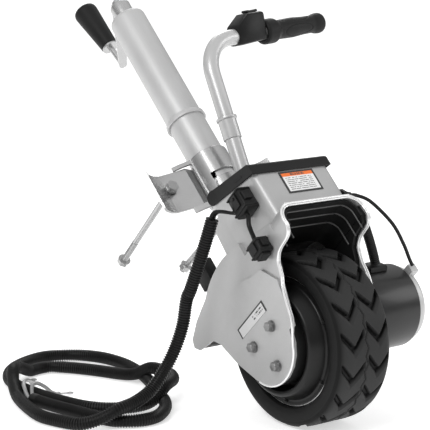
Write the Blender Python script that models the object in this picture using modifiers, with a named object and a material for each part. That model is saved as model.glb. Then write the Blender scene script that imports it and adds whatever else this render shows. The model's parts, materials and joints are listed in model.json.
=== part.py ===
"""Motorised trailer jack wheel: a 12 V hub-driven jockey wheel on a leaning, crank-raised mast.

Run with: blender --background --python part.py

Lengths are written in millimetres and turned into metres where an object is made.
Two frames are used, each an empty that its objects are parented to:
  mast frame    origin at the wheel's centre, +x along the wheel's axle towards the motor, +z up the mast
  floor frame   origin on the floor under the wheel's centre, +z up
The part's own origin is the middle of the drawbar clamp, on the mast's axis.
"""

import math

import bmesh
import bpy
from mathutils import Matrix, Vector

MM = 0.001
GAP = 0.3                      # clearance between pieces that touch

# Driving dimensions
LEAN = math.radians(46.2)      # the mast's lean from upright, towards +Y
WHEEL_R = 130.0
TYRE_HALF = 50.0
CLAMP_Z = 304.0                # clamp's middle, up the mast from the wheel's centre
PLATE_X = 85.0                 # outer face of the fork's bolt plates
CHEEK_X = 81.0                 # outer face of the cheeks above the bolt plates
BOX_X = 73.5                   # outer face of the box
SHEET = 3.0                    # sheet thickness of the fork
TUBE_R = 30.0                  # outer mast tube
INNER_R = 25.5                 # inner mast tube
SCREW_R = 9.0
MOTOR_Z = 27.0                 # motor's axis above the wheel's axis, up the mast
MOTOR_R = 65.0
BAR_R = 12.7                   # handlebar tube
CONDUIT_R = 10.0
MAST_TOP = 648.0
ARM_Z = 677.0                  # underside of the crank arm
ARM_REACH = 178.0
ARM_ANGLE = math.radians(62.0)  # crank arm's direction in the plane across the mast
PIN_LENGTH = 130.0


# ---------------------------------------------------------------- scene helpers

for existing in list(bpy.data.objects):
    bpy.data.objects.remove(existing)

PARTS = bpy.data.collections.new("trailer_jack_wheel")
CUTTERS = bpy.data.collections.new("cutters")
bpy.context.scene.collection.children.link(PARTS)
bpy.context.scene.collection.children.link(CUTTERS)


def make_empty(name, location, rotation=(0.0, 0.0, 0.0)):
    """Add a frame that other objects are parented to."""
    empty = bpy.data.objects.new(name, None)
    empty.location = Vector(location) * MM
    empty.rotation_euler = rotation
    PARTS.objects.link(empty)
    return empty


WHEEL_CENTRE = (0.0, -CLAMP_Z * math.sin(LEAN), -CLAMP_Z * math.cos(LEAN))
MAST = make_empty("mast_frame", WHEEL_CENTRE, (-LEAN, 0.0, 0.0))
FLOOR = make_empty("floor_frame", (0.0, WHEEL_CENTRE[1], WHEEL_CENTRE[2] - WHEEL_R))

MATERIALS = {}


def material(name, colour, roughness, metallic=0.0):
    """Register one Principled material under its name."""
    made = bpy.data.materials.new(name)
    made.use_nodes = True
    shader = made.node_tree.nodes["Principled BSDF"]
    shader.inputs["Base Color"].default_value = (*colour, 1.0)
    shader.inputs["Roughness"].default_value = roughness
    shader.inputs["Metallic"].default_value = metallic
    MATERIALS[name] = made


material("silver_paint", (0.62, 0.63, 0.64), 0.38, 0.4)
material("zinc", (0.72, 0.72, 0.72), 0.25, 1.0)
material("steel", (0.55, 0.55, 0.56), 0.35, 1.0)
material("black_plastic", (0.03, 0.03, 0.033), 0.45)
material("black_paint", (0.035, 0.036, 0.038), 0.32)
material("rubber", (0.035, 0.035, 0.035), 0.8)
material("conduit_plastic", (0.02, 0.02, 0.02), 0.5)
material("copper", (0.75, 0.4, 0.25), 0.4, 1.0)
material("label_film", (0.85, 0.85, 0.84), 0.4)
material("brass", (0.75, 0.6, 0.3), 0.35, 1.0)


def add_object(name, mesh, frame, finish, rotation=(0.0, 0.0, 0.0), centre=(0.0, 0.0, 0.0)):
    """Link a mesh as a named part, placed in one of the two frames."""
    made = bpy.data.objects.new(name, mesh)
    PARTS.objects.link(made)
    made.parent = frame
    made.location = Vector(centre) * MM
    made.rotation_euler = rotation
    if finish:
        mesh.materials.clear()
        mesh.materials.append(MATERIALS[finish])
    return made


def mesh_from(name, bm):
    """Turn a bmesh into a mesh with consistent outward faces."""
    bmesh.ops.recalc_face_normals(bm, faces=bm.faces)
    mesh = bpy.data.meshes.new(name)
    bm.to_mesh(mesh)
    bm.free()
    return mesh


def combine(base, other, operation):
    """Join or cut base with other, which becomes a hidden guide."""
    PARTS.objects.unlink(other)
    CUTTERS.objects.link(other)
    other.hide_render = True
    other.display_type = "WIRE"
    boolean = base.modifiers.new(operation.lower(), "BOOLEAN")
    boolean.operation = operation
    boolean.solver = "EXACT"
    boolean.object = other
    return base


def join(base, *others):
    """Union the others into base."""
    for other in others:
        combine(base, other, "UNION")
    return base


def cut(base, *others):
    """Subtract the others from base."""
    for other in others:
        combine(base, other, "DIFFERENCE")
    return base


def block(name, low, high, finish=None, frame=None):
    """A box from its lowest to its highest corner."""
    bm = bmesh.new()
    size = [h - l for l, h in zip(low, high)]
    middle = [(h + l) / 2 for l, h in zip(low, high)]
    bmesh.ops.create_cube(bm, size=1.0)
    bmesh.ops.scale(bm, vec=Vector(size) * MM, verts=bm.verts)
    return add_object(name, mesh_from(name, bm), frame or MAST, finish, centre=middle)


def bevelled(thing, width, segments=2):
    """Round the thing's edges."""
    bevel = thing.modifiers.new("rounding", "BEVEL")
    bevel.width = width * MM
    bevel.segments = segments
    bevel.limit_method = "ANGLE"
    bevel.angle_limit = math.radians(40)
    return thing


AXIS_TURN = {"x": (0.0, math.pi / 2, 0.0), "y": (-math.pi / 2, 0.0, 0.0), "z": (0.0, 0.0, 0.0)}


def cone(name, start, axis, radii, length, finish=None, sides=28, frame=None, rotation=None):
    """A cylinder or cone from start along +axis."""
    bm = bmesh.new()
    bmesh.ops.create_cone(bm, cap_ends=True, segments=sides, radius1=radii[0] * MM,
                          radius2=radii[1] * MM, depth=length * MM)
    bmesh.ops.translate(bm, vec=(0.0, 0.0, length * MM / 2), verts=bm.verts)
    return add_object(name, mesh_from(name, bm), frame or MAST, finish,
                      rotation or AXIS_TURN[axis], start)


def cylinder(name, start, axis, radius, length, finish=None, sides=28, **kwargs):
    """A cylinder from start along +axis."""
    return cone(name, start, axis, (radius, radius), length, finish, sides, **kwargs)


def turned(name, profile, axis, finish=None, steps=32, closed=False, centre=(0.0, 0.0, 0.0), frame=None):
    """Spin a profile of (radius, height) points, listed down the outer side, about an axis."""
    mesh = bpy.data.meshes.new(name)
    points = [(r * MM, 0.0, z * MM) for r, z in profile]
    edges = [(i, i + 1) for i in range(len(points) - 1)]
    if closed:
        edges.append((len(points) - 1, 0))
    mesh.from_pydata(points, edges, [])
    made = add_object(name, mesh, frame or MAST, finish, AXIS_TURN[axis], centre)
    screw = made.modifiers.new("turn", "SCREW")
    screw.steps = steps
    screw.render_steps = steps
    screw.use_merge_vertices = True
    screw.merge_threshold = 0.00001
    screw.use_smooth_shade = True
    return made


def ring(name, axis, start, length, outer, inner, finish=None, steps=32, frame=None):
    """A plain ring from start along +axis."""
    profile = [(outer, length), (outer, 0.0), (inner, 0.0), (inner, length)]
    return turned(name, profile, axis, finish, steps, closed=True, centre=start, frame=frame)


def arc(centre, radius, start_deg, end_deg, count):
    """Points along an arc, both ends included."""
    points = []
    for i in range(count):
        angle = math.radians(start_deg + (end_deg - start_deg) * i / (count - 1))
        points.append((centre[0] + radius * math.cos(angle), centre[1] + radius * math.sin(angle)))
    return points


def prism(name, outline, low, high, finish=None, across="x", centre=(0.0, 0.0, 0.0), frame=None):
    """Extrude a flat outline from low to high across its plane.

    The outline is (y, z) points across x, (x, z) points across y, or (x, y) points across z.
    """
    place = {"x": lambda a, b, h: (h, a, b), "y": lambda a, b, h: (a, h, b),
             "z": lambda a, b, h: (a, b, h)}[across]
    bm = bmesh.new()
    face = bm.faces.new([bm.verts.new(Vector(place(a, b, low)) * MM) for a, b in outline])
    grown = bmesh.ops.extrude_face_region(bm, geom=[face])
    moved = [item for item in grown["geom"] if isinstance(item, bmesh.types.BMVert)]
    bmesh.ops.translate(bm, vec=Vector(place(0, 0, high - low)) * MM, verts=moved)
    return add_object(name, mesh_from(name, bm), frame or MAST, finish, centre=centre)


def strip_outline(path, thickness):
    """The closed outline of a sheet that follows a path in its plane."""
    left, right = [], []
    for i, point in enumerate(path):
        before = Vector(path[max(i - 1, 0)])
        after = Vector(path[min(i + 1, len(path) - 1)])
        along = (after - before).normalized()
        normal = Vector((-along.y, along.x)) * thickness / 2
        left.append(tuple(Vector(point) + normal))
        right.append(tuple(Vector(point) - normal))
    return left + right[::-1]


def smooth_path(points, spacing):
    """Points at an even spacing along a Catmull-Rom curve through the given points."""
    knots = [Vector(p) for p in points]
    knots = [2 * knots[0] - knots[1]] + knots + [2 * knots[-1] - knots[-2]]
    dense = []
    for a, b, c, d in zip(knots, knots[1:], knots[2:], knots[3:]):
        for i in range(24):
            t = i / 24
            dense.append(0.5 * (2 * b + (c - a) * t + (2 * a - 5 * b + 4 * c - d) * t * t
                                + (3 * b - a - 3 * c + d) * t ** 3))
    dense.append(knots[-2])
    total = sum((q - p).length for p, q in zip(dense, dense[1:]))
    count = max(2, round(total / spacing))
    result, travelled, target = [dense[0]], 0.0, total / count
    for p, q in zip(dense, dense[1:]):
        length = (q - p).length
        while travelled + length >= target * len(result) - 1e-6 and len(result) <= count:
            result.append(p.lerp(q, (target * len(result) - travelled) / length))
        travelled += length
    return result


def tube(name, points, radius, finish, frame=None, resolution=3, as_mesh=False):
    """A round bar along points, as a curve with filled caps."""
    curve = bpy.data.curves.new(name, "CURVE")
    curve.dimensions = "3D"
    curve.bevel_depth = radius * MM
    curve.bevel_resolution = resolution
    curve.use_fill_caps = True
    spline = curve.splines.new("POLY")
    spline.points.add(len(points) - 1)
    for slot, point in zip(spline.points, points):
        slot.co = (*(Vector(point) * MM), 1.0)
    curve.materials.append(MATERIALS[finish])
    made = bpy.data.objects.new(name, curve)
    PARTS.objects.link(made)
    made.parent = frame or MAST
    if not as_mesh:
        return made
    bpy.context.view_layer.update()
    graph = bpy.context.evaluated_depsgraph_get()
    mesh = bpy.data.meshes.new_from_object(made.evaluated_get(graph))
    bm = bmesh.new()
    bm.from_mesh(mesh)
    bmesh.ops.remove_doubles(bm, verts=bm.verts, dist=0.00001)
    bm.to_mesh(mesh)
    bm.free()
    bpy.data.objects.remove(made)
    return add_object(name, mesh, frame or MAST, finish)


def aim(direction):
    """The rotation that turns +z onto a direction."""
    return Vector(direction).to_track_quat("Z", "Y").to_euler()


def bolt(name, seat, direction, shank_r, shank, head_af, head_h, washer_r, washer_h, finish="zinc"):
    """A hex bolt whose washer rests on seat; direction is the way the shank points."""
    along = Vector(direction).normalized()
    turn = aim(along)
    seat = Vector(seat)
    washer_start = seat - along * washer_h
    head_start = washer_start - along * (head_h - 0.2)
    made = cylinder(name, head_start, "z", head_af / math.sqrt(3), head_h, finish, 6, rotation=turn)
    washer = cylinder(name + "_washer", washer_start, "z", washer_r, washer_h, None, 16, rotation=turn)
    stem = cylinder(name + "_stem", seat - along * (washer_h / 2), "z", shank_r,
                    shank + washer_h / 2, None, 12, rotation=turn)
    return join(made, washer, stem)


# ---------------------------------------------------------------- fork and housing

LIP = [(-160, 122), (-163, 100), (-153, 86), (-124, 83), (-109, 74), (-103, 61), (-98, 48),
       (-84, 12), (-72, -16)]                       # front edge, top to bottom
LOBE = arc((-3, -1), 62, 194, 338, 9)               # round the bolt plate's foot
REAR = [(73, 15), (87, 58), (104, 80), (121, 83), (142, 88), (151, 99), (146, 111), (116, 125)]
CROWN_R = 154.0
CROWN = arc((0, 0), CROWN_R, 62, 108, 12)           # over the wheel, rear to front
CHEEK = LIP + LOBE + REAR + CROWN + [(-54, 148), (-54, 124)]
CREASE = [(-93, 52), (-73, 85)] + arc((0, 0), 102, 117, 70, 8) + [(72, 84), (86, 58)]
BOLT_PLATE = CREASE + [(73, 15)] + LOBE[::-1] + LIP[:-3:-1]
BOX_SLOPE = (236 - 206) / (149 - 46)
INNER_X = CHEEK_X - SHEET                           # inner face of the cheeks
HOOD_BACK = -134.0              # rear edge of the rounded hood over the opening
PLATE_BOLTS = [(-33.7, 11.2), (22.3, 12.6), (-2.9, -38.7)]
RELAY_Y = (62, 90)


def half_arch(half_width, top, corner, foot):
    """Outline, in a plane across the mast, of an arch with rounded top corners."""
    left = arc((corner - half_width, top - corner), corner, 180, 90, 5)
    return [(-half_width, foot)] + left + [(-x, z) for x, z in left[::-1]] + [(half_width, foot)]


def box_outline(inset):
    """Outline of the box seen along the mast, with rounded front corners."""
    half, front, corner = BOX_X - inset, inset - 149, 12 - inset
    left = arc((corner - half, front + corner), corner, 180, 270, 4)
    return [(-half, -46)] + left + [(-x, y) for x, y in left[::-1]] + [(half, -46)]


def fork_housing():
    """Two cheeks, the arch between them, the hood lip and the box, in one folded and welded sheet."""
    shell = prism("fork_housing", CHEEK, -CHEEK_X, CHEEK_X, "silver_paint")
    for side in (-1, 1):
        ear = arc((side * 53, 108), 28, 90, 90 - side * 90, 5)
        cut(shell, prism(f"ear_{side}", ear + [(side * 90, 108), (side * 90, 150), (side * 53, 150)],
                         -180, HOOD_BACK, across="y"))
    box = prism("box_outer", box_outline(0), 110, 250, across="z")
    cut(box, prism("box_top", [(-170, 200), (-149, 206), (-46, 236), (-20, 244), (-20, 270), (-170, 270)],
                   -90, 90))
    hood = prism("hood", half_arch(CHEEK_X, 136, 28, 96), -163, HOOD_BACK, across="y")
    plates = [prism(f"bolt_plate_{side}", BOLT_PLATE, *sorted((side * PLATE_X, side * (CHEEK_X - 1))))
              for side in (-1, 1)]
    relay_foot = block("relay_foot", (-58, 66, 122), (-42, 86, 157.7))
    join(shell, box, hood, *plates, relay_foot)
    inside_arch = arc((0, 0), CROWN_R - SHEET, 58, 108, 10)
    well = [(-200, 118), (-200, -90), (160, -90), (170, 60), (143.4, 95), (143, 108), (114, 121)]
    hollow = prism("wheel_well", well + inside_arch + [(-51, 141), (-51, 118)], -INNER_X, INNER_X)
    inner_hood = prism("hood_hollow", half_arch(INNER_X, 136 - SHEET, 28 - SHEET, 80), -180,
                       HOOD_BACK - SHEET, across="y")
    inner_box = prism("box_inner", box_outline(SHEET), 105, 260, across="z")
    cut(inner_box, prism("crown_kept", [(-53, 142.5), (-50, 155), (-20, 160), (-20, 150)], -90, 90))
    open_back = block("box_back", (SHEET - BOX_X, -60, 160), (BOX_X - SHEET, -40, 260))
    king_hole = cylinder("king_pin_bore", (0, 0, 140), "z", 8.6, 20)
    shaft_hole = cylinder("shaft_bore", (70, 0, MOTOR_Z), "x", 10, 20)
    bolt_holes = [cylinder(f"plate_bolt_bore_{i}", (-90, y, z), "x", 4.4, 16, sides=16)
                  for i, (y, z) in enumerate(PLATE_BOLTS)]
    return cut(shell, hollow, inner_hood, inner_box, open_back, king_hole, shaft_hole, *bolt_holes)


def inner_liner():
    """Black moulded liner: a tunnel behind the hood, an arch over the tyre and two side skirts."""
    liner = prism("inner_liner", arc((0, 0), 146, 60, 115, 10) + arc((0, 0), 143, 115, 60, 10),
                  -69.5, 69.5, "black_plastic")
    tunnel = prism("liner_tunnel", half_arch(70, 132, 22, 100), -158, -60, across="y")
    hollow = prism("liner_hollow", half_arch(67, 129, 19, 80), -170, -50, across="y")
    join(liner, cut(tunnel, hollow))
    skirt = [(-158, 100), (-150, 90), (-122, 87), (-106, 78), (-99, 62), (-90, 50), (-70, 60),
             (-60, 90), (-60, 117), (-156, 117)]
    for side in (-1, 1):
        join(liner, prism(f"liner_skirt_{side}", skirt, *sorted((side * 69, side * 77.6))))
    return liner


def mast_bracket():
    """Welded seat of the mast: cross plate, two cheeks and a foot plate."""
    bracket = block("mast_bracket", (-70, -45.5, 161), (70, -41.5, 232), "silver_paint")
    foot = block("foot_plate", (-38, -44, 154.6), (38, 34, 159))
    cheeks = [prism(f"mast_cheek_{side}", [(-43, 157), (30, 157), (24, 236), (-43, 236)],
                    *sorted((side * 34, side * 38))) for side in (-1, 1)]
    join(bracket, foot, *cheeks)
    return cut(bracket, cylinder("king_pin_hole", (0, 0, 150), "z", 8.6, 20))


def top_cover():
    """Black moulded lid with a skirt round three sides of the box."""
    lid = prism("top_cover", [(-152.5, 201), (-152.5, 217), (-148, 221.5), (-46, 249), (-46, 226)],
                -BOX_X - 3, BOX_X + 3, "black_plastic")
    hollow = prism("lid_hollow", [(-149.3, 190), (-149.3, 214), (-40, 214 + BOX_SLOPE * 109.3),
                                  (-40, 190)], -BOX_X - GAP, BOX_X + GAP)
    bar_hole = prism("bar_passage", [(-66, 200), (-66, 260), (-40, 260), (-40, 200)], -17, 17)
    return cut(lid, hollow, bar_hole)


def labels():
    """Warning film on the box's front and rating film on the left bolt plate."""
    block("warning_label", (-28.5, -149.9, 160.5), (37.5, -149.3, 199.5), "label_film")
    film = prism("rating_label", [(-42, 34), (36, 36.6), (36, 53.5), (-42, 52)],
                 -PLATE_X - 0.9, -PLATE_X - GAP, "label_film")
    return film


# ---------------------------------------------------------------- wheel, axle and gears

IDLER = (34.36, 16.24)         # idler's axis, 36 from the motor's and 38 from the wheel's
DRUM_R = 62.0
MODULE = 2.0
RING_TEETH, IDLER_TEETH, SMALL_TEETH, MOTOR_TEETH = 50, 28, 12, 8


def gear_outline(teeth, inside=False):
    """Tooth outline that stays 0.2 clear of the pitch circle."""
    pitch = MODULE * teeth / 2
    crest, foot = (pitch + 0.2, pitch + 3.2) if inside else (pitch - 0.2, pitch - 3.0)
    points = []
    for i in range(teeth):
        for share, radius in ((-0.5, foot), (0.0, crest)):
            angle = math.tau * (i + share) / teeth
            points.append((radius * math.cos(angle), radius * math.sin(angle)))
    return points


def wheel():
    """Rubber tyre on a one-piece rim with a dished left side."""
    turned("tyre", [(124, 49), (129, 42), (130, 30), (130, -30), (129, -42), (124, -49), (117, -50),
                    (99.3, -48), (99.3, 48), (117, 50)], "x", "rubber", 36, closed=True)
    turned("wheel_rim", [(98.7, 41), (98.7, -41), (96, -42), (88, -41), (79.5, -66), (74, -67),
                         (70.5, -65), (70.5, -32), (26, -32), (26, -37), (21, -37), (21, 34.7),
                         (60.3, 34.7), (60.3, 50), (65, 50), (65, 29), (26, 29), (26, -27),
                         (74.5, -27), (74.5, -60), (77, -60), (86, -36), (93.5, -34), (93.5, 41)],
           "x", "black_plastic", 36, closed=True)
    for name, x in (("hub_bearing_left", -35), ("hub_bearing_right", 15)):
        ring(name, "x", (x, 0, 0), 12, 20.7, 12.3, "steel", 32)
    band = cylinder("ring_gear", (35, 0, 0), "x", 60, 15, "steel", 36)
    cut(band, prism("ring_gear_teeth", gear_outline(RING_TEETH, inside=True), 34, 51))


def axle_and_drum():
    """Fixed axle through the wheel and the black drum that the left bolts hold."""
    ring("gear_drum", "x", (-INNER_X + GAP, 0, 0), INNER_X - 45, DRUM_R, 12.3, "black_paint")
    turned("axle", [(0, INNER_X - GAP), (8, INNER_X - GAP), (8, 50), (12, 49), (12, GAP - INNER_X),
                    (0, GAP - INNER_X)], "x", "steel", 24)
    for i, (y, z) in enumerate(PLATE_BOLTS):
        bolt(f"plate_bolt_{i + 1}", (-PLATE_X - GAP, y, z), (1, 0, 0), 4, 6.8, 13, 6.5, 8.5, 3.5)


def gear_train():
    """Motor pinion, compound idler on its pin, and the ring wall round them."""
    big = prism("idler_gear", gear_outline(IDLER_TEETH), 52, 60, "steel", centre=(0, *IDLER))
    small = prism("idler_pinion", gear_outline(SMALL_TEETH), 36.5, 49.5, centre=(0, *IDLER))
    neck = cylinder("idler_neck", (49, *IDLER), "x", 8.5, 4)
    cut(join(big, small, neck), cylinder("idler_bore", (30, *IDLER), "x", 4.3, 40, sides=16))
    cylinder("idler_pin", (36.5, *IDLER), "x", 4, INNER_X - GAP - 36.5, "steel", 16)
    ring("gear_cover", "x", (50.8, 0, 0), INNER_X - GAP - 50.8, 72, 69, "black_plastic")
    pinion = prism("motor_pinion", gear_outline(MOTOR_TEETH), 51.5, 60.5, "brass", centre=(0, 0, MOTOR_Z))
    cut(pinion, cylinder("pinion_bore", (45, 0, MOTOR_Z), "x", 3.3, 30, sides=16))


def motor():
    """Direct-current motor: flange, sleeve, end cap, magnets and rotor."""
    front, mid, back = PLATE_X + GAP, 91.0, 188.0
    at = (0, 0, MOTOR_Z)
    ring("motor_flange", "x", (front, 0, MOTOR_Z), mid - front, 60, 6.3, "zinc")
    ring("motor_sleeve", "x", (mid + GAP, 0, MOTOR_Z), back - mid - GAP, MOTOR_R, 61, "black_paint")
    cap = turned("motor_end_cap", [(0, 207), (50, 207), (58, 204), (61, 198), (61, back + GAP),
                                   (56, back + GAP), (56, 200), (0, 200)], "x", "zinc", centre=at)
    ear = block("end_cap_ear", (190, -72, 38), (204, -54, 52))
    join(cap, ear)
    ring("motor_magnets", "x", (100, 0, MOTOR_Z), 75, 60.7, 50, "black_paint")
    turned("motor_rotor", [(0, 198), (5, 198), (5, 188), (16, 188), (16, 176), (10, 176), (10, 168),
                           (46, 166), (46, 108), (10, 106), (5, 100), (5, 62), (3, 61.5), (3, 51.5),
                           (0, 51.5)], "x", "copper", 32, centre=at)


def motor_wiring():
    """Terminal cover on the sleeve, its short conduit, and the thin cable to the end cap."""
    out, along = Vector((-0.8, 0.6)), Vector((0.6, 0.8))
    centre = Vector((0, MOTOR_Z))
    corners = [centre + out * reach + along * side
               for reach, side in ((58, -14), (71, -14), (73, -11), (73, 11), (71, 14), (58, 14))]
    cover = prism("terminal_cover", [tuple(c) for c in corners], 122, 157, "black_plastic")
    cut(cover, cylinder("sleeve_clearance", (100, 0, MOTOR_Z), "x", MOTOR_R + GAP, 90, sides=48))
    conduit_path = [(CHEEK_X + 1.5, -119, 113), (91, -120, 113), (103, -120, 109.5), (113, -107, 100),
                    (127, -86, 87), (136, -70.5, 76.5), (140, -62.5, 70.2)]
    tube("motor_conduit", smooth_path(conduit_path, 9), 7, "conduit_plastic")
    relief = cone("cable_relief", (BOX_X + 1, -136.4, 151.6), "x", (9, 4.5), 19, "black_plastic", 20)
    join(relief, cylinder("relief_nut", (BOX_X + GAP, -136.4, 151.6), "x", 11, 6, sides=6))
    cable_path = [(94.6, -136.4, 151.6), (105, -137, 148.5), (125, -136, 134), (155, -122, 99.6),
                  (175, -101.4, 73.9), (189, -82, 54.5), (194.5, -75.4, 47.4)]
    tube("motor_cable", smooth_path(cable_path, 9), 2.8, "conduit_plastic", resolution=2)


# ---------------------------------------------------------------- mast

def swivel():
    """Thrust bearing on the foot plate, and the foot that turns on it with its king pin."""
    ring("swivel_bearing", "z", (0, 0, 159.3), 4.2, 26, 9, "zinc", 32)
    turned("tube_foot", [(0, 186), (21.6, 186), (21.6, 176), (26.5, 176), (26.5, 163.8), (8, 163.8),
                         (8, 150), (12, 150), (12, 147), (0, 147)], "z", "zinc", 32)


def tubes():
    """Inner and outer mast tubes, the stop ring, the lead nut and the screw's bearing."""
    ring("inner_tube", "z", (0, 0, 176.3), 560 - 176.3, INNER_R, 22, "zinc", 40)
    ring("lead_nut", "z", (0, 0, 545), 15, 21.7, SCREW_R + GAP, "brass", 24)
    turned("outer_tube", [(28.5, 645), (TUBE_R, 641), (TUBE_R, 172), (27, 172), (27, 645)],
           "z", "zinc", 48, closed=True)
    turned("stop_ring", [(33, 426), (34, 418), (TUBE_R + GAP, 418), (TUBE_R + GAP, 426)],
           "z", "zinc", 48, closed=True)
    ring("screw_bearing", "z", (0, 0, 634), 10, 26.7, SCREW_R + GAP, "steel", 32)


PIN_FOOT = Vector((ARM_REACH * math.cos(ARM_ANGLE), ARM_REACH * math.sin(ARM_ANGLE), ARM_Z + 1))
PIN_AIM = Vector((-0.085, 0.045, 1.0)).normalized()    # the grip's pin stands a little askew
COLLAR_Z = (256.0, 346.0)
WINDOW_Z = (266.5, 338.5)
CLAMP_SHEET = 4.0
BAND_R = TUBE_R + 0.4 + CLAMP_SHEET / 2
LEFT_BOLT = (-82.0, 309.0)
RIGHT_SEAT = Vector((84.0, 13.0, 300.0))
RIGHT_AIM = Vector((-67.0, 185.0, -27.0)).normalized()


def mirrored(path):
    """A left half path followed by its mirror image."""
    return path + [(-x, y) for x, y in path[::-1]]


def clamp():
    """Drawbar clamp: collar round the tube's front, saddle round its back, two long bolts."""
    collar_path = mirrored([(-63, 15), (-50, 7), (-38, 1.5)] + arc((0, 0), BAND_R, 184, 262, 8))
    collar = prism("clamp_collar", strip_outline(collar_path, CLAMP_SHEET), *COLLAR_Z, "zinc", "z")
    windows = [block(f"collar_window_{side}", (min(side * 36, side * 80), -8, WINDOW_Z[0]),
                     (max(side * 36, side * 80), 30, WINDOW_Z[1])) for side in (-1, 1)]
    slot = prism("collar_slot", [(0, 0)] + arc((0, 0), 60, -142, -65, 8), 293, 303, across="z")
    cut(collar, *windows, slot)
    saddle_path = mirrored([(-122, 5), (-113, 14), (-100, 21), (-88, 23), (-64, 17), (-44, 10)]
                           + arc((0, 0), BAND_R + GAP, 152, 98, 6))
    saddle = prism("clamp_saddle", strip_outline(saddle_path, CLAMP_SHEET), 267, 338, "zinc", "z")
    left_hole = cylinder("saddle_hole_left", (LEFT_BOLT[0], 0, LEFT_BOLT[1]), "y", 5.6, 40, sides=20)
    right_hole = cylinder("saddle_hole_right", RIGHT_SEAT - 20 * RIGHT_AIM, "z", 6.5, 60, sides=20,
                          rotation=aim(RIGHT_AIM))
    cut(saddle, left_hole, right_hole)
    bolt("clamp_bolt_left", (LEFT_BOLT[0], 16.2, LEFT_BOLT[1]), (0, 1, 0), 5, 196, 17, 7, 10, 2)
    bolt("clamp_bolt_right", RIGHT_SEAT, RIGHT_AIM, 5, 204, 17, 7, 10, 2)
    nut_seats = {"clamp_nut_left": (Vector((LEFT_BOLT[0], 200, LEFT_BOLT[1])), Vector((0, 1, 0))),
                 "clamp_nut_right": (RIGHT_SEAT + 190 * RIGHT_AIM, RIGHT_AIM)}
    for name, (seat, along) in nut_seats.items():
        nut = cylinder(name, seat + along, "z", 17 / math.sqrt(3), 8, "zinc", 6, rotation=aim(along))
        flange = cylinder(name + "_flange", seat, "z", 10.5, 2, sides=16, rotation=aim(along))
        bore = cylinder(name + "_bore", seat - 5 * along, "z", 5.4, 20, sides=12, rotation=aim(along))
        cut(join(nut, flange), bore)


def crank():
    """Lead screw with its hub, the flat arm with its pin, and the free-turning grip."""
    turned("lead_screw", [(0, 676), (15, 676), (17, 674), (17, 650), (15, MAST_TOP), (SCREW_R, MAST_TOP),
                          (SCREW_R, 192), (7, 190), (0, 190)], "z", "steel", 32)
    flat = arc((ARM_REACH, 0), 7, -90, 90, 7) + arc((0, 0), 12, 90, 270, 7)
    arm = prism("crank_arm", flat, 0, 5, "zinc", "z", centre=(0, 0, ARM_Z))
    arm.rotation_euler = (0.0, 0.0, ARM_ANGLE)
    pin = cylinder("crank_pin", PIN_FOOT + PIN_AIM, "z", 5, PIN_LENGTH, sides=20, rotation=aim(PIN_AIM))
    washer = cylinder("crank_pin_washer", PIN_FOOT + 43.4 * PIN_AIM, "z", 14.5, 3, sides=20,
                      rotation=aim(PIN_AIM))
    head = cylinder("crank_bolt_head", (0, 0, ARM_Z + 4), "z", 13 / math.sqrt(3), 6.5, sides=6)
    join(arm, pin, washer, head)
    grip = turned("crank_grip", [(0, 91), (17, 91), (20.5, 88), (21.5, 82), (15.5, 4), (15.5, 0),
                                 (5.3, 0), (5.3, 87), (0, 87)], "z", "black_plastic", 28,
                  centre=PIN_FOOT + 46.8 * PIN_AIM)
    grip.rotation_euler = aim(PIN_AIM)
    return grip


# ---------------------------------------------------------------- handlebar

GRIP_START = Vector((66.0, -125.0, 487.0))
GRIP_TURN = math.atan2(199, 20)                     # grip's axis from the mast's, about y
GRIP_ROLL = math.radians(36)                        # switch hump's turn about the grip's axis
GRIP_TILT = Matrix.Rotation(GRIP_TURN, 3, "Y") @ Matrix.Rotation(GRIP_ROLL, 3, "Z")
GRIP = make_empty("grip_frame", GRIP_START, GRIP_TILT.to_euler())
GRIP.parent = MAST
GRIP_LENGTH = 195.0
STEM_UP = Vector((0.0, -45.5, 138.0)).normalized()
BEND = GRIP_START - GRIP_TILT @ Vector((0, 0, 66.3))  # where stem and grip would meet
STEM_FOOT = BEND - 242 * STEM_UP


def fillet(corner, before, after, radius, count):
    """Points round the bend between two directions that meet at corner."""
    turn = before.angle(after)
    reach = radius * math.tan(turn / 2)
    centre = corner + (after - before).normalized() * (radius / math.cos(turn / 2))
    start, points = corner - before * reach - centre, []
    spin = before.cross(after).normalized()
    for i in range(count):
        points.append(centre + Matrix.Rotation(turn * i / (count - 1), 3, spin) @ start)
    return points


def handlebar():
    """Bent steel bar from its socket behind the box to the grip."""
    socket = block("handlebar_base", (-16, -60, 232.4), (16, -38, 241), "silver_paint")
    along = GRIP_TILT @ Vector((0, 0, 1))
    path = [STEM_FOOT, STEM_FOOT + 90 * STEM_UP] + fillet(BEND, STEM_UP, along, 62, 9)
    path += [BEND + 90 * along, GRIP_START + (GRIP_LENGTH - 8) * along]
    tube("handlebar", path, BAR_R, "silver_paint", as_mesh=True)
    foot = STEM_FOOT + 78 * STEM_UP
    sleeve = cylinder("bar_sleeve", foot, "z", 14.6, 36, "silver_paint", 28, rotation=aim(STEM_UP))
    rim = cylinder("sleeve_rim", foot + 32 * STEM_UP, "z", 16.6, 4, sides=28, rotation=aim(STEM_UP))
    cut(join(sleeve, rim), cylinder("sleeve_bore", foot - 10 * STEM_UP, "z", BAR_R + GAP, 60, sides=28,
                                    rotation=aim(STEM_UP)))
    return socket


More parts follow.
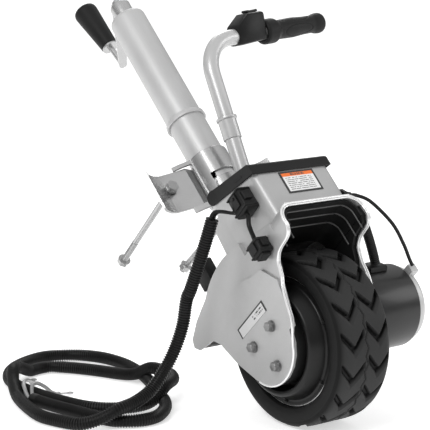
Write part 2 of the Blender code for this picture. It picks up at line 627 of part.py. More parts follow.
def grip_and_switch():
    """Switch housing with its hump, sprung rocker and rubber grip along the bar's end."""
    bore = cylinder("switch_bore", (0, 0, -10), "z", BAR_R + GAP, 200, sides=28, frame=GRIP)
    side = [(15.5, 0), (12, 60), (-34, 60), (-34, 24), (-16, -1)]
    housing = prism("switch_housing", side, -16, 16, "black_plastic", "y", frame=GRIP)
    bevelled(housing, 5, 2)
    pocket = block("rocker_pocket", (-40, -8, 29), (-30.5, 8, 55), frame=GRIP)
    cut(housing, bore, pocket)
    rocker = prism("rocker_switch", [(-5.4, -11), (-1.5, -12), (0.5, 0), (-1.5, 12), (-5.4, 11), (-4, 0)],
                   -7, 7, "black_plastic", "y", centre=(-33.5, 0, 42), frame=GRIP)
    bevelled(rocker, 0.8, 1)
    grip = turned("hand_grip", [(0, GRIP_LENGTH), (12, GRIP_LENGTH), (16, 192), (17, 187), (16.5, 178),
                                (14, 167), (16.5, 128), (15.8, 92), (18, 88), (20.5, 84), (20.5, 64),
                                (18, 61), (0, 61)], "z", "rubber", 24, frame=GRIP)
    return cut(grip, cylinder("grip_bore", (0, 0, 50), "z", BAR_R + GAP, 138, sides=28, frame=GRIP))


# ---------------------------------------------------------------- wiring on the left side

def connectors():
    """Two plug-and-socket pairs on the left side and the relay box behind the crown."""
    upper = block("connector_upper", (-99, -130, 159), (-BOX_X - GAP, -98, 197), "black_plastic")
    bevelled(upper, 2, 2)
    lower = block("connector_lower", (-105, -118, 90), (-CHEEK_X - GAP, -90, 115), "black_plastic")
    bevelled(lower, 2, 2)
    tube("connector_lead", smooth_path([(-92, -115, 157.6), (-93, -115.5, 151), (-98, -113, 138),
                                        (-95, -105, 116.6)], 7), 3.5, "conduit_plastic", resolution=2)
    relay = block("relay_box", (-62, RELAY_Y[0], 158), (-38, RELAY_Y[1], 204), "black_plastic")
    bevelled(relay, 2, 2)


# ---------------------------------------------------------------- supply cord, in the floor frame

CONDUIT_ROUTE = [
    (-116, 86, 309), (-122, 96, 270), (-129, 106, 231), (-134, 116, 199), (-136, 123, 183),
    (-140, 128, 143), (-151, 135, 104), (-168, 140, 73), (-191, 141, 48), (-222, 138, 36),
    (-252, 137, 31), (-279, 148, 18), (-302, 169, 10), (-317, 205, 10), (-323, 244, 10),
    (-311, 302, 10), (-295, 351, 10), (-275, 396, 20), (-257, 424, 31), (-231, 452, 25),
    (-197, 468, 10), (-163, 471, 10), (-137, 445, 10), (-114, 407, 10), (-96, 367, 10),
    (-84, 334, 14), (-77, 297, 31), (-73, 258, 31), (-87, 224, 31), (-119, 200, 31),
    (-154, 190, 14), (-187, 194, 10), (-217, 207, 10), (-241, 234, 10), (-253, 271, 10),
    (-261, 314, 10), (-265, 362, 10), (-263, 406, 10), (-250, 451, 10), (-220, 491, 10),
    (-176, 519, 10), (-128, 529, 10), (-86, 509, 10), (-59, 468, 10), (-52, 415, 10),
    (-60, 361, 10), (-75, 312, 10), (-94, 265, 10), (-114, 223, 10), (-131, 186, 10),
    (-156, 153, 10), (-190, 129, 10), (-223, 130, 10), (-249, 150, 10), (-261, 188, 10),
    (-269, 226, 10), (-279, 274, 10), (-285, 323, 10)]
FEED_ROUTES = [[(-93, 60.9, 322.2), (-95, 66, 319), (-104, 74, 321), (-114, 81, 321),
                (-118.7, 83.8, 315.6), (-119.6, 85.3, 309.9)],
               [(-85, 60.9, 322.2), (-86, 67, 317.5), (-95, 76, 318.5), (-106, 83, 319.5),
                (-111.5, 85.2, 315), (-112.4, 86.7, 309.2)]]
LEAD_ROUTES = [[(-288.5, 328, 10), (-287.5, 336, 15), (-285, 346, 22), (-278, 360, 26), (-266, 373, 26),
                (-249, 389, 19), (-235, 405, 8), (-223, 421, 4)],
               [(-281, 328, 10), (-278, 336, 17), (-272, 344, 25), (-261, 348, 26), (-247, 348, 18),
                (-235, 345, 7), (-225, 341, 4)]]


def supply_cord():
    """Corrugated conduit from the upper connector to the floor, its two cores at each end."""
    tube("supply_conduit", smooth_path(CONDUIT_ROUTE, 37), CONDUIT_R, "conduit_plastic", FLOOR, 2)
    for i, route in enumerate(FEED_ROUTES):
        tube(f"feed_lead_{i + 1}", smooth_path(route, 5), 2.6, "conduit_plastic", FLOOR, 2)
    for i, route in enumerate(LEAD_ROUTES):
        lead = tube(f"battery_lead_{i + 1}", smooth_path(route, 8), 3, "label_film", FLOOR, 2, as_mesh=True)
        end, before = Vector(route[-1]), Vector(route[-2])
        heading = math.atan2(end.y - before.y, end.x - before.x)
        lug = block(f"lug_{i + 1}", (-3, -5.5, -1), (20, 5.5, 1), frame=FLOOR)
        lug.location = (end + 7 * Vector((math.cos(heading), math.sin(heading), 0))) * MM
        lug.rotation_euler = (0.0, 0.0, heading)
        join(lead, lug)


def main():
    """Build every sub-part."""
    fork_housing()
    inner_liner()
    mast_bracket()
    top_cover()
    labels()
    wheel()
    axle_and_drum()
    gear_train()
    motor()
    motor_wiring()
    swivel()
    tubes()
    clamp()
    crank()
    handlebar()
    grip_and_switch()
    connectors()
    supply_cord()


main()
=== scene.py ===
"""Looks of the trailer jack wheel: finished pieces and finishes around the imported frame."""
import json
import logging
import math
from dataclasses import dataclass
from enum import Enum
from typing import Iterable, Sequence

import bmesh
import bpy
import numpy as np
from mathutils import Matrix, Vector

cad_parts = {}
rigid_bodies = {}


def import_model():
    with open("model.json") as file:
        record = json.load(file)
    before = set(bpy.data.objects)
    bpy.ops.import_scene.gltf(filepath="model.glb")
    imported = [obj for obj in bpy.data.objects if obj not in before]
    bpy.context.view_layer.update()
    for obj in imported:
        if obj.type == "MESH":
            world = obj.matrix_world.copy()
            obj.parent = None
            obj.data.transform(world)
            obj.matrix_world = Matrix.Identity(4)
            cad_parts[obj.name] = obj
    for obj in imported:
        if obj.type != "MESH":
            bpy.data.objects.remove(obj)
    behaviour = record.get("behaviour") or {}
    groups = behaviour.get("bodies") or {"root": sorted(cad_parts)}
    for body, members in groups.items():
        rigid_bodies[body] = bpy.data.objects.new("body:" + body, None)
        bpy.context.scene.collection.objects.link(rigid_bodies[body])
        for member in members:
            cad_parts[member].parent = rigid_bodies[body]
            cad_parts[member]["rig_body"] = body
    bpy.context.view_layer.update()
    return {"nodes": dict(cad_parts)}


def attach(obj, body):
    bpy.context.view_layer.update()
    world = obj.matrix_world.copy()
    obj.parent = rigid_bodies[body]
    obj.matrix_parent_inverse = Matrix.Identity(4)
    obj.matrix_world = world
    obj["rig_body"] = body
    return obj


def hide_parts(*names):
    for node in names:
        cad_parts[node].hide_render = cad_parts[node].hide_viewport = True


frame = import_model()

LOG = logging.getLogger("jack_wheel")
MM = 0.001
LEAN = math.radians(46.2)                                 # how far the mast leans back
CLAMP_Z = 304.0                                           # height of the clamp above the axle, on the mast
WHEEL_R = 130.0
MOTOR_RISE = 27.0                                         # from the axle to the motor, on the mast
GRIP_START = (66.0, -125.0, 487.0)
SIDEWAYS = np.array([[0, 0, 1], [1, 0, 0], [0, 1, 0]])    # turns z onto the outer axes' x
SMOOTH_ANGLE = math.radians(38)                           # edges sharper than this stay sharp
FLAT_ANGLE = math.radians(0.7)                            # faces flatter than this to each other become one
WELD = 2e-6                                               # points closer than this, in metres, become one
SPAN_STEPS = 24                                           # points worked out in each span of a curve


# ---------------------------------------------------------------- places

class Place:
    """A turned and shifted set of axes, in millimetres."""

    def __init__(self, turn: np.ndarray, origin: Sequence[float]) -> None:
        """Keep the axes.

        Args:
            turn: their directions in the row frame, as the columns of a matrix.
            origin: their origin in the row frame.
        """
        self.turn = np.asarray(turn, float)
        self.origin = np.asarray(origin, float)

    def row(self, points: np.ndarray) -> np.ndarray:
        """Return points given in these axes as metres in the row frame."""
        return (self.origin + np.asarray(points, float) @ self.turn.T) * MM

    def inner(self, turn: np.ndarray, origin: Sequence[float]) -> "Place":
        """Return a further set of axes given inside these."""
        return Place(self.turn @ np.asarray(turn), self.origin + self.turn @ np.asarray(origin, float))

    def along(self, direction: Sequence[float], origin: Sequence[float]) -> "Place":
        """Return axes whose z runs along a direction given in these."""
        return self.inner(np.array(Vector(direction).to_track_quat("Z", "Y").to_matrix()), origin)


WHEEL_CENTRE = (0.0, -CLAMP_Z * math.sin(LEAN), -CLAMP_Z * math.cos(LEAN))
MAST = Place(np.array(Matrix.Rotation(-LEAN, 3, "X")), WHEEL_CENTRE)
FLOOR = Place(np.eye(3), (0.0, WHEEL_CENTRE[1], WHEEL_CENTRE[2] - WHEEL_R))
GRIP_TURN = Matrix.Rotation(math.atan2(199, 20), 3, "Y") @ Matrix.Rotation(math.radians(36), 3, "Z")
GRIP = MAST.inner(np.array(GRIP_TURN), GRIP_START)
AXLE = MAST.inner(SIDEWAYS, (0, 0, 0))
MOTOR = MAST.inner(SIDEWAYS, (0, 0, MOTOR_RISE))


# ---------------------------------------------------------------- surfaces

def smoothed(mesh: bpy.types.Mesh) -> bpy.types.Mesh:
    """Shade a mesh smooth apart from its sharp edges.

    Args:
        mesh: the mesh.

    Returns:
        The same mesh.
    """
    mesh.polygons.foreach_set("use_smooth", np.ones(len(mesh.polygons), bool))
    mesh.set_sharp_from_angle(angle=SMOOTH_ANGLE)
    return mesh


def mesh_of(name: str, points: np.ndarray, faces: np.ndarray | list, merge: bool = True) -> bpy.types.Mesh:
    """Make a mesh whose faces point outwards.

    Args:
        name: the mesh's name.
        points: vertices in metres, one row each.
        faces: rows of vertex numbers.
        merge: whether coincident vertices, as at poles and seams, become one.

    Returns:
        The mesh, smooth apart from its sharp edges. The signed volume, a sixth of the sum of
        a . (b x c) over the triangles of each face, tells whether the faces are turned over.
    """
    rows = faces.tolist() if isinstance(faces, np.ndarray) else faces
    mesh = bpy.data.meshes.new(name)
    mesh.from_pydata(points, [], rows)
    bm = bmesh.new()
    bm.from_mesh(mesh)
    if merge:
        bmesh.ops.remove_doubles(bm, verts=bm.verts, dist=WELD)
    if bm.calc_volume(signed=True) < 0:
        bmesh.ops.reverse_faces(bm, faces=bm.faces)
    bm.to_mesh(mesh)
    bm.free()
    return smoothed(mesh)


def grid_faces(rows: int, columns: int, wrap_rows: bool, wrap_columns: bool) -> np.ndarray:
    """Number the quads of a grid of points: each joins point (i, j) to its next row and column.

    Args:
        rows: rows of points.
        columns: points in a row.
        wrap_rows: whether the last row joins the first.
        wrap_columns: whether the last column joins the first.

    Returns:
        Four vertex numbers to a quad.
    """
    i = np.arange(rows if wrap_rows else rows - 1)[:, None]
    j = np.arange(columns if wrap_columns else columns - 1)[None, :]
    i2, j2 = (i + 1) % rows, (j + 1) % columns
    corners = [i * columns + j, i * columns + j2, i2 * columns + j2, i2 * columns + j]
    return np.stack([np.broadcast_to(c, (i.shape[0], j.shape[1])).ravel() for c in corners], axis=1)


def rounded(profile: Sequence[tuple[float, float]], radius: float, closed: bool, count: int = 4) -> np.ndarray:
    """Round a profile's corners: each is replaced by the quadratic curve that touches both edges.

    Args:
        profile: the corners.
        radius: how far back along each edge the curve starts, at most 0.45 of the edge.
        closed: whether the profile returns to its start.
        count: points in each curve.

    Returns:
        The new points, one row each.
    """
    p = np.asarray(profile, float)
    before, after = np.roll(p, 1, axis=0), np.roll(p, -1, axis=0)
    reach = [np.minimum(radius, 0.45 * np.linalg.norm(q - p, axis=1))[:, None] for q in (before, after)]
    unit = [(q - p) / np.maximum(np.linalg.norm(q - p, axis=1), 1e-9)[:, None] for q in (before, after)]
    start, end = p + unit[0] * reach[0], p + unit[1] * reach[1]
    t = np.linspace(0, 1, count)[None, :, None]
    curve = (1 - t) ** 2 * start[:, None] + 2 * t * (1 - t) * p[:, None] + t ** 2 * end[:, None]
    if closed:
        return curve.reshape(-1, 2)
    return np.vstack([p[:1], curve[1:-1].reshape(-1, 2), p[-1:]])


def turned(radius: np.ndarray, height: np.ndarray, angle: np.ndarray) -> np.ndarray:
    """Points (r cos a, r sin a, h), row by row."""
    grid = [radius * np.cos(angle), radius * np.sin(angle), height + 0 * angle]
    return np.stack(grid, axis=2).reshape(-1, 3)


def lathe(name: str, profile: Sequence[tuple[float, float]], place: Place, steps: int = 96,
          radius: float = 0.0, closed: bool = True) -> bpy.types.Mesh:
    """Turn a profile of (radius, height) about an axis: (r cos a, r sin a, h).

    Args:
        name: the mesh's name.
        profile: the profile's points.
        place: axes whose z is the axis of turning.
        steps: columns round the axis.
        radius: rounding of the profile's corners, if any.
        closed: whether the profile is a loop; if not, it starts and ends on the axis.

    Returns:
        The closed surface.
    """
    p = rounded(profile, radius, closed) if radius else np.asarray(profile, float)
    angle = np.linspace(0, math.tau, steps, endpoint=False)[None, :]
    return mesh_of(name, place.row(turned(p[:, :1], p[:, 1:], angle)), grid_faces(len(p), steps, closed, True))


def section(inside: float, outside: float, low: float, high: float) -> list[tuple[float, float]]:
    """Profile of a plain ring, for the lathe."""
    return [(inside, low), (outside, low), (outside, high), (inside, high)]


def catmull(points: Sequence[Sequence[float]], spacing: float) -> np.ndarray:
    """Space points evenly along the Catmull-Rom curve through the given ones.

    Each span from b to c with neighbours a and d is
    (2b + (c - a)t + (2a - 5b + 4c - d)t^2 + (3b - a - 3c + d)t^3) / 2 for t from 0 to 1.

    Args:
        points: points that the curve passes through.
        spacing: distance between the new points.

    Returns:
        The new points, one row each.
    """
    k = np.asarray(points, float)
    k = np.vstack([2 * k[0] - k[1], k, 2 * k[-1] - k[-2]])
    a, b, c, d = (k[i:len(k) - 3 + i, None] for i in range(4))
    t = np.linspace(0, 1, SPAN_STEPS, endpoint=False)[None, :, None]
    dense = 0.5 * (2 * b + (c - a) * t + (2 * a - 5 * b + 4 * c - d) * t ** 2
                   + (3 * b - a - 3 * c + d) * t ** 3)
    return evenly(np.vstack([dense.reshape(-1, 3), k[-2]]), spacing)


def evenly(line: np.ndarray, spacing: float) -> np.ndarray:
    """Space points evenly along a polyline, by its running length.

    Args:
        line: the polyline's points.
        spacing: distance between the new points.

    Returns:
        The new points, one row each.
    """
    run = np.concatenate([[0], np.cumsum(np.linalg.norm(np.diff(line, axis=0), axis=1))])
    target = np.linspace(0, run[-1], max(2, round(run[-1] / spacing)) + 1)
    return np.stack([np.interp(target, run, line[:, i]) for i in range(3)], axis=1)


def frames_along(line: np.ndarray) -> tuple[np.ndarray, np.ndarray]:
    """Carry two directions along a path, turning as little as they can.

    Args:
        line: the path's points.

    Returns:
        The two unit vectors across the path at each point.
    """
    tangent = np.gradient(line, axis=0)
    tangent /= np.linalg.norm(tangent, axis=1)[:, None]
    side = np.cross(tangent[0], (0.31, 0.17, 0.93))       # no path starts along this
    sides = []
    for way in tangent:
        side = side - way * (side @ way)
        side = side / np.linalg.norm(side)
        sides.append(side)
    across = np.array(sides)
    return across, np.cross(tangent, across)


def sweep(name: str, line: np.ndarray, radii: np.ndarray | float, place: Place,
          sides: int = 16) -> bpy.types.Mesh:
    """Carry a circle along a path: c(s) + r(s) (cos a u(s) + sin a v(s)), with closed ends.

    Args:
        name: the mesh's name.
        line: the path, in millimetres.
        radii: the radius at each point of the path, or one for all.
        place: the axes that the path is given in.
        sides: columns round the path.

    Returns:
        The closed tube.
    """
    u, v = frames_along(line)
    r = np.broadcast_to(np.asarray(radii, float), (len(line),))[:, None, None]
    angle = np.linspace(0, math.tau, sides, endpoint=False)[None, :, None]
    points = line[:, None] + r * (np.cos(angle) * u[:, None] + np.sin(angle) * v[:, None])
    ends = [np.repeat(line[i][None], sides, axis=0)[None] for i in (0, -1)]
    points = np.concatenate([ends[0], points, ends[1]])
    return mesh_of(name, place.row(points.reshape(-1, 3)), grid_faces(len(line) + 2, sides, False, True))


def corrugated(name: str, line: np.ndarray, radius: float, groove: float, place: Place,
               sides: int) -> bpy.types.Mesh:
    """Tube whose radius steps between crest and groove, two path points to each."""
    cycle = np.array([radius, radius, radius - groove, radius - groove])
    return sweep(name, line, np.resize(cycle, len(line)), place, sides)


def slab(name: str, outline: np.ndarray, low: float, high: float, place: Place) -> bpy.types.Mesh:
    """Extrude an outline along z, with flat ends.

    Args:
        name: the mesh's name.
        outline: its points (x, y).
        low: height of its lower end.
        high: height of its upper end.
        place: the axes that it is given in.

    Returns:
        The closed block.
    """
    o = np.asarray(outline, float)
    n = len(o)
    points = np.vstack([np.column_stack([o, np.full(n, h)]) for h in (low, high)])
    faces = grid_faces(2, n, False, True).tolist() + [list(range(n))[::-1], list(range(n, 2 * n))]
    return mesh_of(name, place.row(points), faces, merge=False)


def box(low: Sequence[float], high: Sequence[float], place: Place, name: str = "box") -> bpy.types.Mesh:
    """Block between two corners."""
    (x0, y0, z0), (x1, y1, z1) = low, high
    return slab(name, np.array([(x0, y0), (x1, y0), (x1, y1), (x0, y1)]), z0, z1, place)


def merged(name: str, meshes: Iterable[bpy.types.Mesh]) -> bpy.types.Mesh:
    """Put several closed meshes into one mesh.

    Args:
        name: the mesh's name.
        meshes: the parts.

    Returns:
        The whole.
    """
    bm = bmesh.new()
    for mesh in meshes:
        bm.from_mesh(mesh)
    joined = bpy.data.meshes.new(name)
    bm.to_mesh(joined)
    bm.free()
    return smoothed(joined)


def arc(centre: tuple[float, float], radius: float, start: float, end: float, count: int) -> np.ndarray:
    """Points round an arc in a plane, angles in degrees: centre + radius (cos a, sin a)."""
    a = np.radians(np.linspace(start, end, count))
    return np.column_stack([centre[0] + radius * np.cos(a), centre[1] + radius * np.sin(a)])


def hexagon(radius: float, first: float = 0.0) -> np.ndarray:
    """Corners of a hexagon: radius (cos a, sin a) from a first angle."""
    a = np.arange(6) * math.tau / 6 + first
    return radius * np.column_stack([np.cos(a), np.sin(a)])


def mirrored(half: list[tuple[float, float, float]]) -> list[tuple[float, float, float]]:
    """A path followed by its mirror image in x, back to the level where it starts."""
    return half + [(-a, b, c) for a, b, c in half[::-1]]


# ---------------------------------------------------------------- shader arithmetic

class Value:
    """A shader socket that Python's operators work on."""

    def __init__(self, shader: "Shader", socket: bpy.types.NodeSocket) -> None:
        """Keep the socket and the shader that it belongs to."""
        self.shader, self.socket = shader, socket

    def _math(self, operation: str, first: object, second: object = 0.0, clamp: bool = False) -> "Value":
        """Add one Math node.

        Args:
            operation: what it works out.
            first: its first value.
            second: its second value.
            clamp: whether the result is kept from 0 to 1.

        Returns:
            Its output.
        """
        made = self.shader.node("ShaderNodeMath", {"operation": operation, "use_clamp": clamp},
                                {0: first, 1: second})
        return Value(self.shader, made.outputs[0])

    def __add__(self, other: object) -> "Value":
        """Sum."""
        return self._math("ADD", self, other)

    __radd__ = __add__

    def __sub__(self, other: object) -> "Value":
        """Difference."""
        return self._math("SUBTRACT", self, other)

    def __rsub__(self, other: object) -> "Value":
        """Difference from a number."""
        return self._math("SUBTRACT", other, self)

    def __mul__(self, other: object) -> "Value":
        """Product."""
        return self._math("MULTIPLY", self, other)

    __rmul__ = __mul__

    def above(self, limit: float) -> "Value":
        """1 where the value is above a limit, else 0."""
        return self._math("GREATER_THAN", self, limit)

    def below(self, limit: float) -> "Value":
        """1 where the value is below a limit, else 0."""
        return self._math("LESS_THAN", self, limit)

    def between(self, low: float, high: float) -> "Value":
        """1 where the value lies between two limits, else 0."""
        return self.above(low) * self.below(high)

    def fraction(self) -> "Value":
        """Fractional part."""
        return self._math("FRACT", self)

    def eased(self, low: float, high: float) -> "Value":
        """0 below low, 1 above high, and a straight ramp between them."""
        return self._math("MULTIPLY", self - low, 1 / (high - low), clamp=True)


class Shader:
    """One material's node tree."""

    def __init__(self, name: str) -> None:
        """Start a material with a Principled shader.

        Args:
            name: the material's name.
        """
        self.material = bpy.data.materials.new(name)
        self.material.use_nodes = True
        self.tree = self.material.node_tree
        self.main = self.tree.nodes["Principled BSDF"]

    def node(self, kind: str, settings: dict | None = None, inputs: dict | None = None) -> bpy.types.Node:
        """Add a node.

        Args:
            kind: the node's type.
            settings: its properties, which are set first.
            inputs: values, or the sockets to link, by input name or number.

        Returns:
            The node.
        """
        made = self.tree.nodes.new(kind)
        for key, setting in (settings or {}).items():
            setattr(made, key, setting)
        for key, given in (inputs or {}).items():
            self.feed(made.inputs[key], given)
        return made

    def feed(self, socket: bpy.types.NodeSocket, given: object) -> None:
        """Link an input, or set its constant.

        Args:
            socket: the input.
            given: a value or an output to link, or a number, colour or vector.
        """
        if isinstance(given, Value):
            self.tree.links.new(given.socket, socket)
        elif isinstance(given, bpy.types.NodeSocket):
            self.tree.links.new(given, socket)
        else:
            socket.default_value = given

    def set(self, **inputs: object) -> None:
        """Feed the Principled shader's inputs, named with _ for a space."""
        for key, given in inputs.items():
            self.feed(self.main.inputs[key.replace("_", " ")], given)

    def coordinates(self, turn: float = 0.0,
                    stretch: tuple[float, float, float] = (1, 1, 1)) -> bpy.types.NodeSocket:
        """Object coordinates, turned about x and then stretched.

        Args:
            turn: the angle.
            stretch: the factor along each axis.

        Returns:
            The socket that gives them.
        """
        where = self.node("ShaderNodeTexCoord").outputs["Object"]
        if turn:
            where = self.node("ShaderNodeMapping", None, {"Vector": where, "Rotation": (turn, 0, 0)}).outputs[0]
        if stretch != (1, 1, 1):
            where = self.node("ShaderNodeVectorMath", {"operation": "MULTIPLY"},
                              {0: where, 1: stretch}).outputs[0]
        return where

    def uv(self) -> tuple[Value, Value]:
        """The piece's own map, as two values."""
        split = self.node("ShaderNodeSeparateXYZ", None, {0: self.node("ShaderNodeTexCoord").outputs["UV"]})
        return Value(self, split.outputs[0]), Value(self, split.outputs[1])

    def noise(self, scale: float, detail: float = 3.0, rough: float = 0.5,
              where: bpy.types.NodeSocket | None = None) -> Value:
        """Noise from 0 to 1.

        Args:
            scale: features to the metre.
            detail: how many finer layers it has.
            rough: how strong they are.
            where: its coordinates, if not the object's own.

        Returns:
            The noise.
        """
        made = self.node("ShaderNodeTexNoise", None, {"Vector": where or self.coordinates(), "Scale": scale,
                                                      "Detail": detail, "Roughness": rough})
        return Value(self, made.outputs[0])

    def bits(self, across: Value, row: object, detail: float, limit: float) -> Value:
        """Break rows into short pieces of uneven length.

        Args:
            across: where a point is along its row.
            row: which row it is on.
            detail: the noise's layers.
            limit: the level that the noise has to pass.

        Returns:
            1 in a piece and 0 in a gap.
        """
        where = self.node("ShaderNodeCombineXYZ", None, {0: across, 1: row, 2: 0.0}).outputs[0]
        return self.noise(1.0, detail, 0.5, where).above(limit)

    def mix(self, factor: object, low: object, high: object) -> bpy.types.NodeSocket:
        """Mix two colours.

        Args:
            factor: 0 for the first and 1 for the second.
            low: the first.
            high: the second.

        Returns:
            The mixture.
        """
        made = self.node("ShaderNodeMix", {"data_type": "RGBA"}, {"Factor": factor})
        self.feed(made.inputs[6], low)
        self.feed(made.inputs[7], high)
        return made.outputs[2]

    def bump(self, height: Value, distance: float) -> bpy.types.NodeSocket:
        """Bump from a height of 0 to 1 that stands for a distance in metres."""
        return self.node("ShaderNodeBump", None,
                         {"Height": height, "Distance": distance, "Strength": 1.0}).outputs[0]


def grey(level: float) -> tuple[float, float, float, float]:
    """A neutral colour."""
    return (level, level, level, 1.0)


# ---------------------------------------------------------------- finishes

class Slot(Enum):
    """The record's material slots."""

    PAINT = "silver_paint"
    ZINC = "zinc"
    STEEL = "steel"
    PLASTIC = "black_plastic"
    ENAMEL = "black_paint"
    TYRE = "tyre_rubber"
    GRIP = "grip_rubber"
    CONDUIT = "conduit"
    COPPER = "copper"
    FILM = "label_film"
    BRASS = "brass"
    LEAD = "grey_lead"


@dataclass(frozen=True)
class Finish:
    """A surface that is mottled and grained.

    Each patch of colour lies between dark and light by broad noise; fine noise gives the grain.
    Grain and broad are features to the metre, and relief is the grain's depth in metres.
    """

    name: str
    slot: Slot
    dark: float
    light: float
    roughness: tuple[float, float]
    metallic: float = 0.0
    grain: float = 900.0
    relief: float = 0.00005
    broad: float = 14.0
    stretch: tuple[float, float, float] = (1, 1, 1)
    coat: float = 0.0
    tint: tuple[float, float, float] = (1, 1, 1)
    specks: float = 0.0
    bite: float = 0.35
    gloss: float = 0.5

    def colour(self, level: float) -> tuple[float, float, float, float]:
        """A level of grey in the finish's tint."""
        return (*(level * part for part in self.tint), 1.0)

    def material(self) -> bpy.types.Material:
        """Make the material on its first use.

        Returns:
            The material.
        """
        if self.name in bpy.data.materials:
            return bpy.data.materials[self.name]
        shader = Shader(self.name)
        self.dress(shader)
        return shader.material

    def dress(self, shader: Shader) -> None:
        """Lay the finish's nodes.

        Args:
            shader: the material's nodes.
        """
        where = shader.coordinates(LEAN if self.stretch != (1, 1, 1) else 0.0, self.stretch)
        patches = shader.noise(self.broad, 4.0, 0.6).eased(0.3, 0.7)
        grain = shader.noise(self.grain, 2.0, 0.5, where)
        tone = shader.mix(patches, self.colour(self.dark), self.colour(self.light))
        tone = shader.mix(grain.eased(0.35, 0.75) * self.bite, tone, self.colour(self.dark * 0.86))
        if self.specks:
            dots = shader.noise(self.grain * 0.45, 1.0, 0.4).above(0.71)
            tone = shader.mix(dots * self.specks, tone, self.colour(min(1.0, self.light * 1.35 + 0.02)))
        low, high = self.roughness
        shader.set(Base_Color=tone, Roughness=low + (high - low) * (patches * 0.6 + grain * 0.4),
                   Metallic=self.metallic, Normal=shader.bump(grain, self.relief),
                   Specular_IOR_Level=self.gloss)
        if self.coat:
            shader.set(Coat_Weight=self.coat, Coat_Roughness=0.12)


SILVER = Finish("satin silver paint", Slot.PAINT, 0.42, 0.48, (0.36, 0.46), 0.35, 1500.0, 0.00004,
                9.0, coat=0.12, specks=0.2, bite=0.2)
# painted highlight: the lip beads get a paler, shinier copy of the silver paint
LIP_HIGHLIGHT_PAINT = Finish("lip paint with painted highlight", Slot.PAINT, 0.80, 0.90, (0.16, 0.28), 0.5, 700.0, 0.00002, 30.0,
                   bite=0.1)
WHITE_BAR = Finish("pale bar paint", Slot.PAINT, 0.48, 0.54, (0.3, 0.4), 0.35, 1300.0, 0.00003, 12.0,
                   coat=0.15, bite=0.14)
ZINC = Finish("bright zinc plate", Slot.ZINC, 0.44, 0.52, (0.2, 0.3), 0.85, 600.0, 0.000015, 9.0,
              (1, 1, 0.06), bite=0.14)
MAST_ZINC = Finish("pale mast plate", Slot.ZINC, 0.50, 0.56, (0.38, 0.48), 0.35, 700.0, 0.00002, 7.0,
                   (1, 1, 0.05), bite=0.14)
BOLT_ZINC = Finish("dull zinc bolt", Slot.ZINC, 0.22, 0.30, (0.26, 0.36), 0.9, 600.0, 0.00002, 60.0)
STEEL = Finish("ground steel", Slot.STEEL, 0.42, 0.55, (0.25, 0.42), 1.0, 900.0, 0.00003, 25.0)
PLASTIC = Finish("moulded black plastic", Slot.PLASTIC, 0.005, 0.009, (0.34, 0.46), 0.0, 2400.0, 0.00004,
                 20.0, specks=0.04, gloss=0.22)
LINER = Finish("liner plastic", Slot.PLASTIC, 0.006, 0.011, (0.40, 0.55), 0.0, 1800.0, 0.00005, 16.0,
               gloss=0.22)
# painted highlight: the ribs get a paler, shinier copy of the liner plastic
LINER_RIB_HIGHLIGHT = Finish("liner rib plastic with painted highlight", Slot.PLASTIC, 0.05, 0.08, (0.28, 0.4), 0.0, 1800.0, 0.00003, 16.0)
ENAMEL = Finish("dark satin enamel", Slot.ENAMEL, 0.014, 0.022, (0.28, 0.38), 0.1, 1500.0, 0.000035, 12.0,
                coat=0.08, gloss=0.35)
GRIP_RUBBER = Finish("grip rubber", Slot.GRIP, 0.007, 0.012, (0.46, 0.6), 0.0, 2600.0, 0.00006, 30.0,
                     gloss=0.22)
CONDUIT = Finish("conduit plastic", Slot.CONDUIT, 0.005, 0.010, (0.34, 0.46), 0.0, 1400.0, 0.00003, 40.0,
                 gloss=0.25)
COPPER = Finish("winding copper", Slot.COPPER, 0.62, 0.78, (0.3, 0.45), 1.0, 1800.0, 0.00005, 30.0,
                tint=(1.0, 0.52, 0.32))
BRASS = Finish("turned brass", Slot.BRASS, 0.7, 0.8, (0.25, 0.4), 1.0, 1500.0, 0.00003, 30.0,
               tint=(1.0, 0.78, 0.42))
LEAD = Finish("grey lead", Slot.LEAD, 0.30, 0.38, (0.3, 0.45), 0.3, 1200.0, 0.00003, 40.0)


@dataclass(frozen=True)
class WarningFilm(Finish):
    """White film with a black frame, an orange header with a dark patch, and rows of short grey bars."""

    field: tuple[float, float] = (0.05, 0.075)          # the frame's share of the width and the height
    header: float = 0.77
    rows: tuple[float, float, float] = (7, 0.12, 0.74)  # how many, and where they start and end
    orange: tuple[float, float, float, float] = (0.86, 0.17, 0.02, 1.0)

    def dress(self, shader: Shader) -> None:
        """Lay out the film from its own map, u across and v up.

        Args:
            shader: the material's nodes.
        """
        super().dress(shader)
        u, v = shader.uv()
        (side, end), (count, low, high) = self.field, self.rows
        field = u.between(side, 1 - side) * v.between(end, 1 - end)
        row = (v - low) * (count / (high - low))
        words = shader.bits(u * 26, (row - row.fraction()) * 3.1, 2.0, 0.43)
        bars = row.fraction().between(0.28, 0.66) * v.between(low, high) * words * u.between(0.11, 0.86)
        patch = v.between(0.80, 0.905) * u.between(0.30, 0.70) * shader.bits(u * 40, 0.0, 1.0, 0.46)
        tone = shader.mix(bars, grey(0.80), grey(0.16))
        tone = shader.mix(v.above(self.header) * field, tone, self.orange)
        tone = shader.mix(patch * 0.85, tone, grey(0.05))
        tone = shader.mix(1 - field, tone, grey(0.02))
        shader.set(Base_Color=tone, Roughness=0.34)


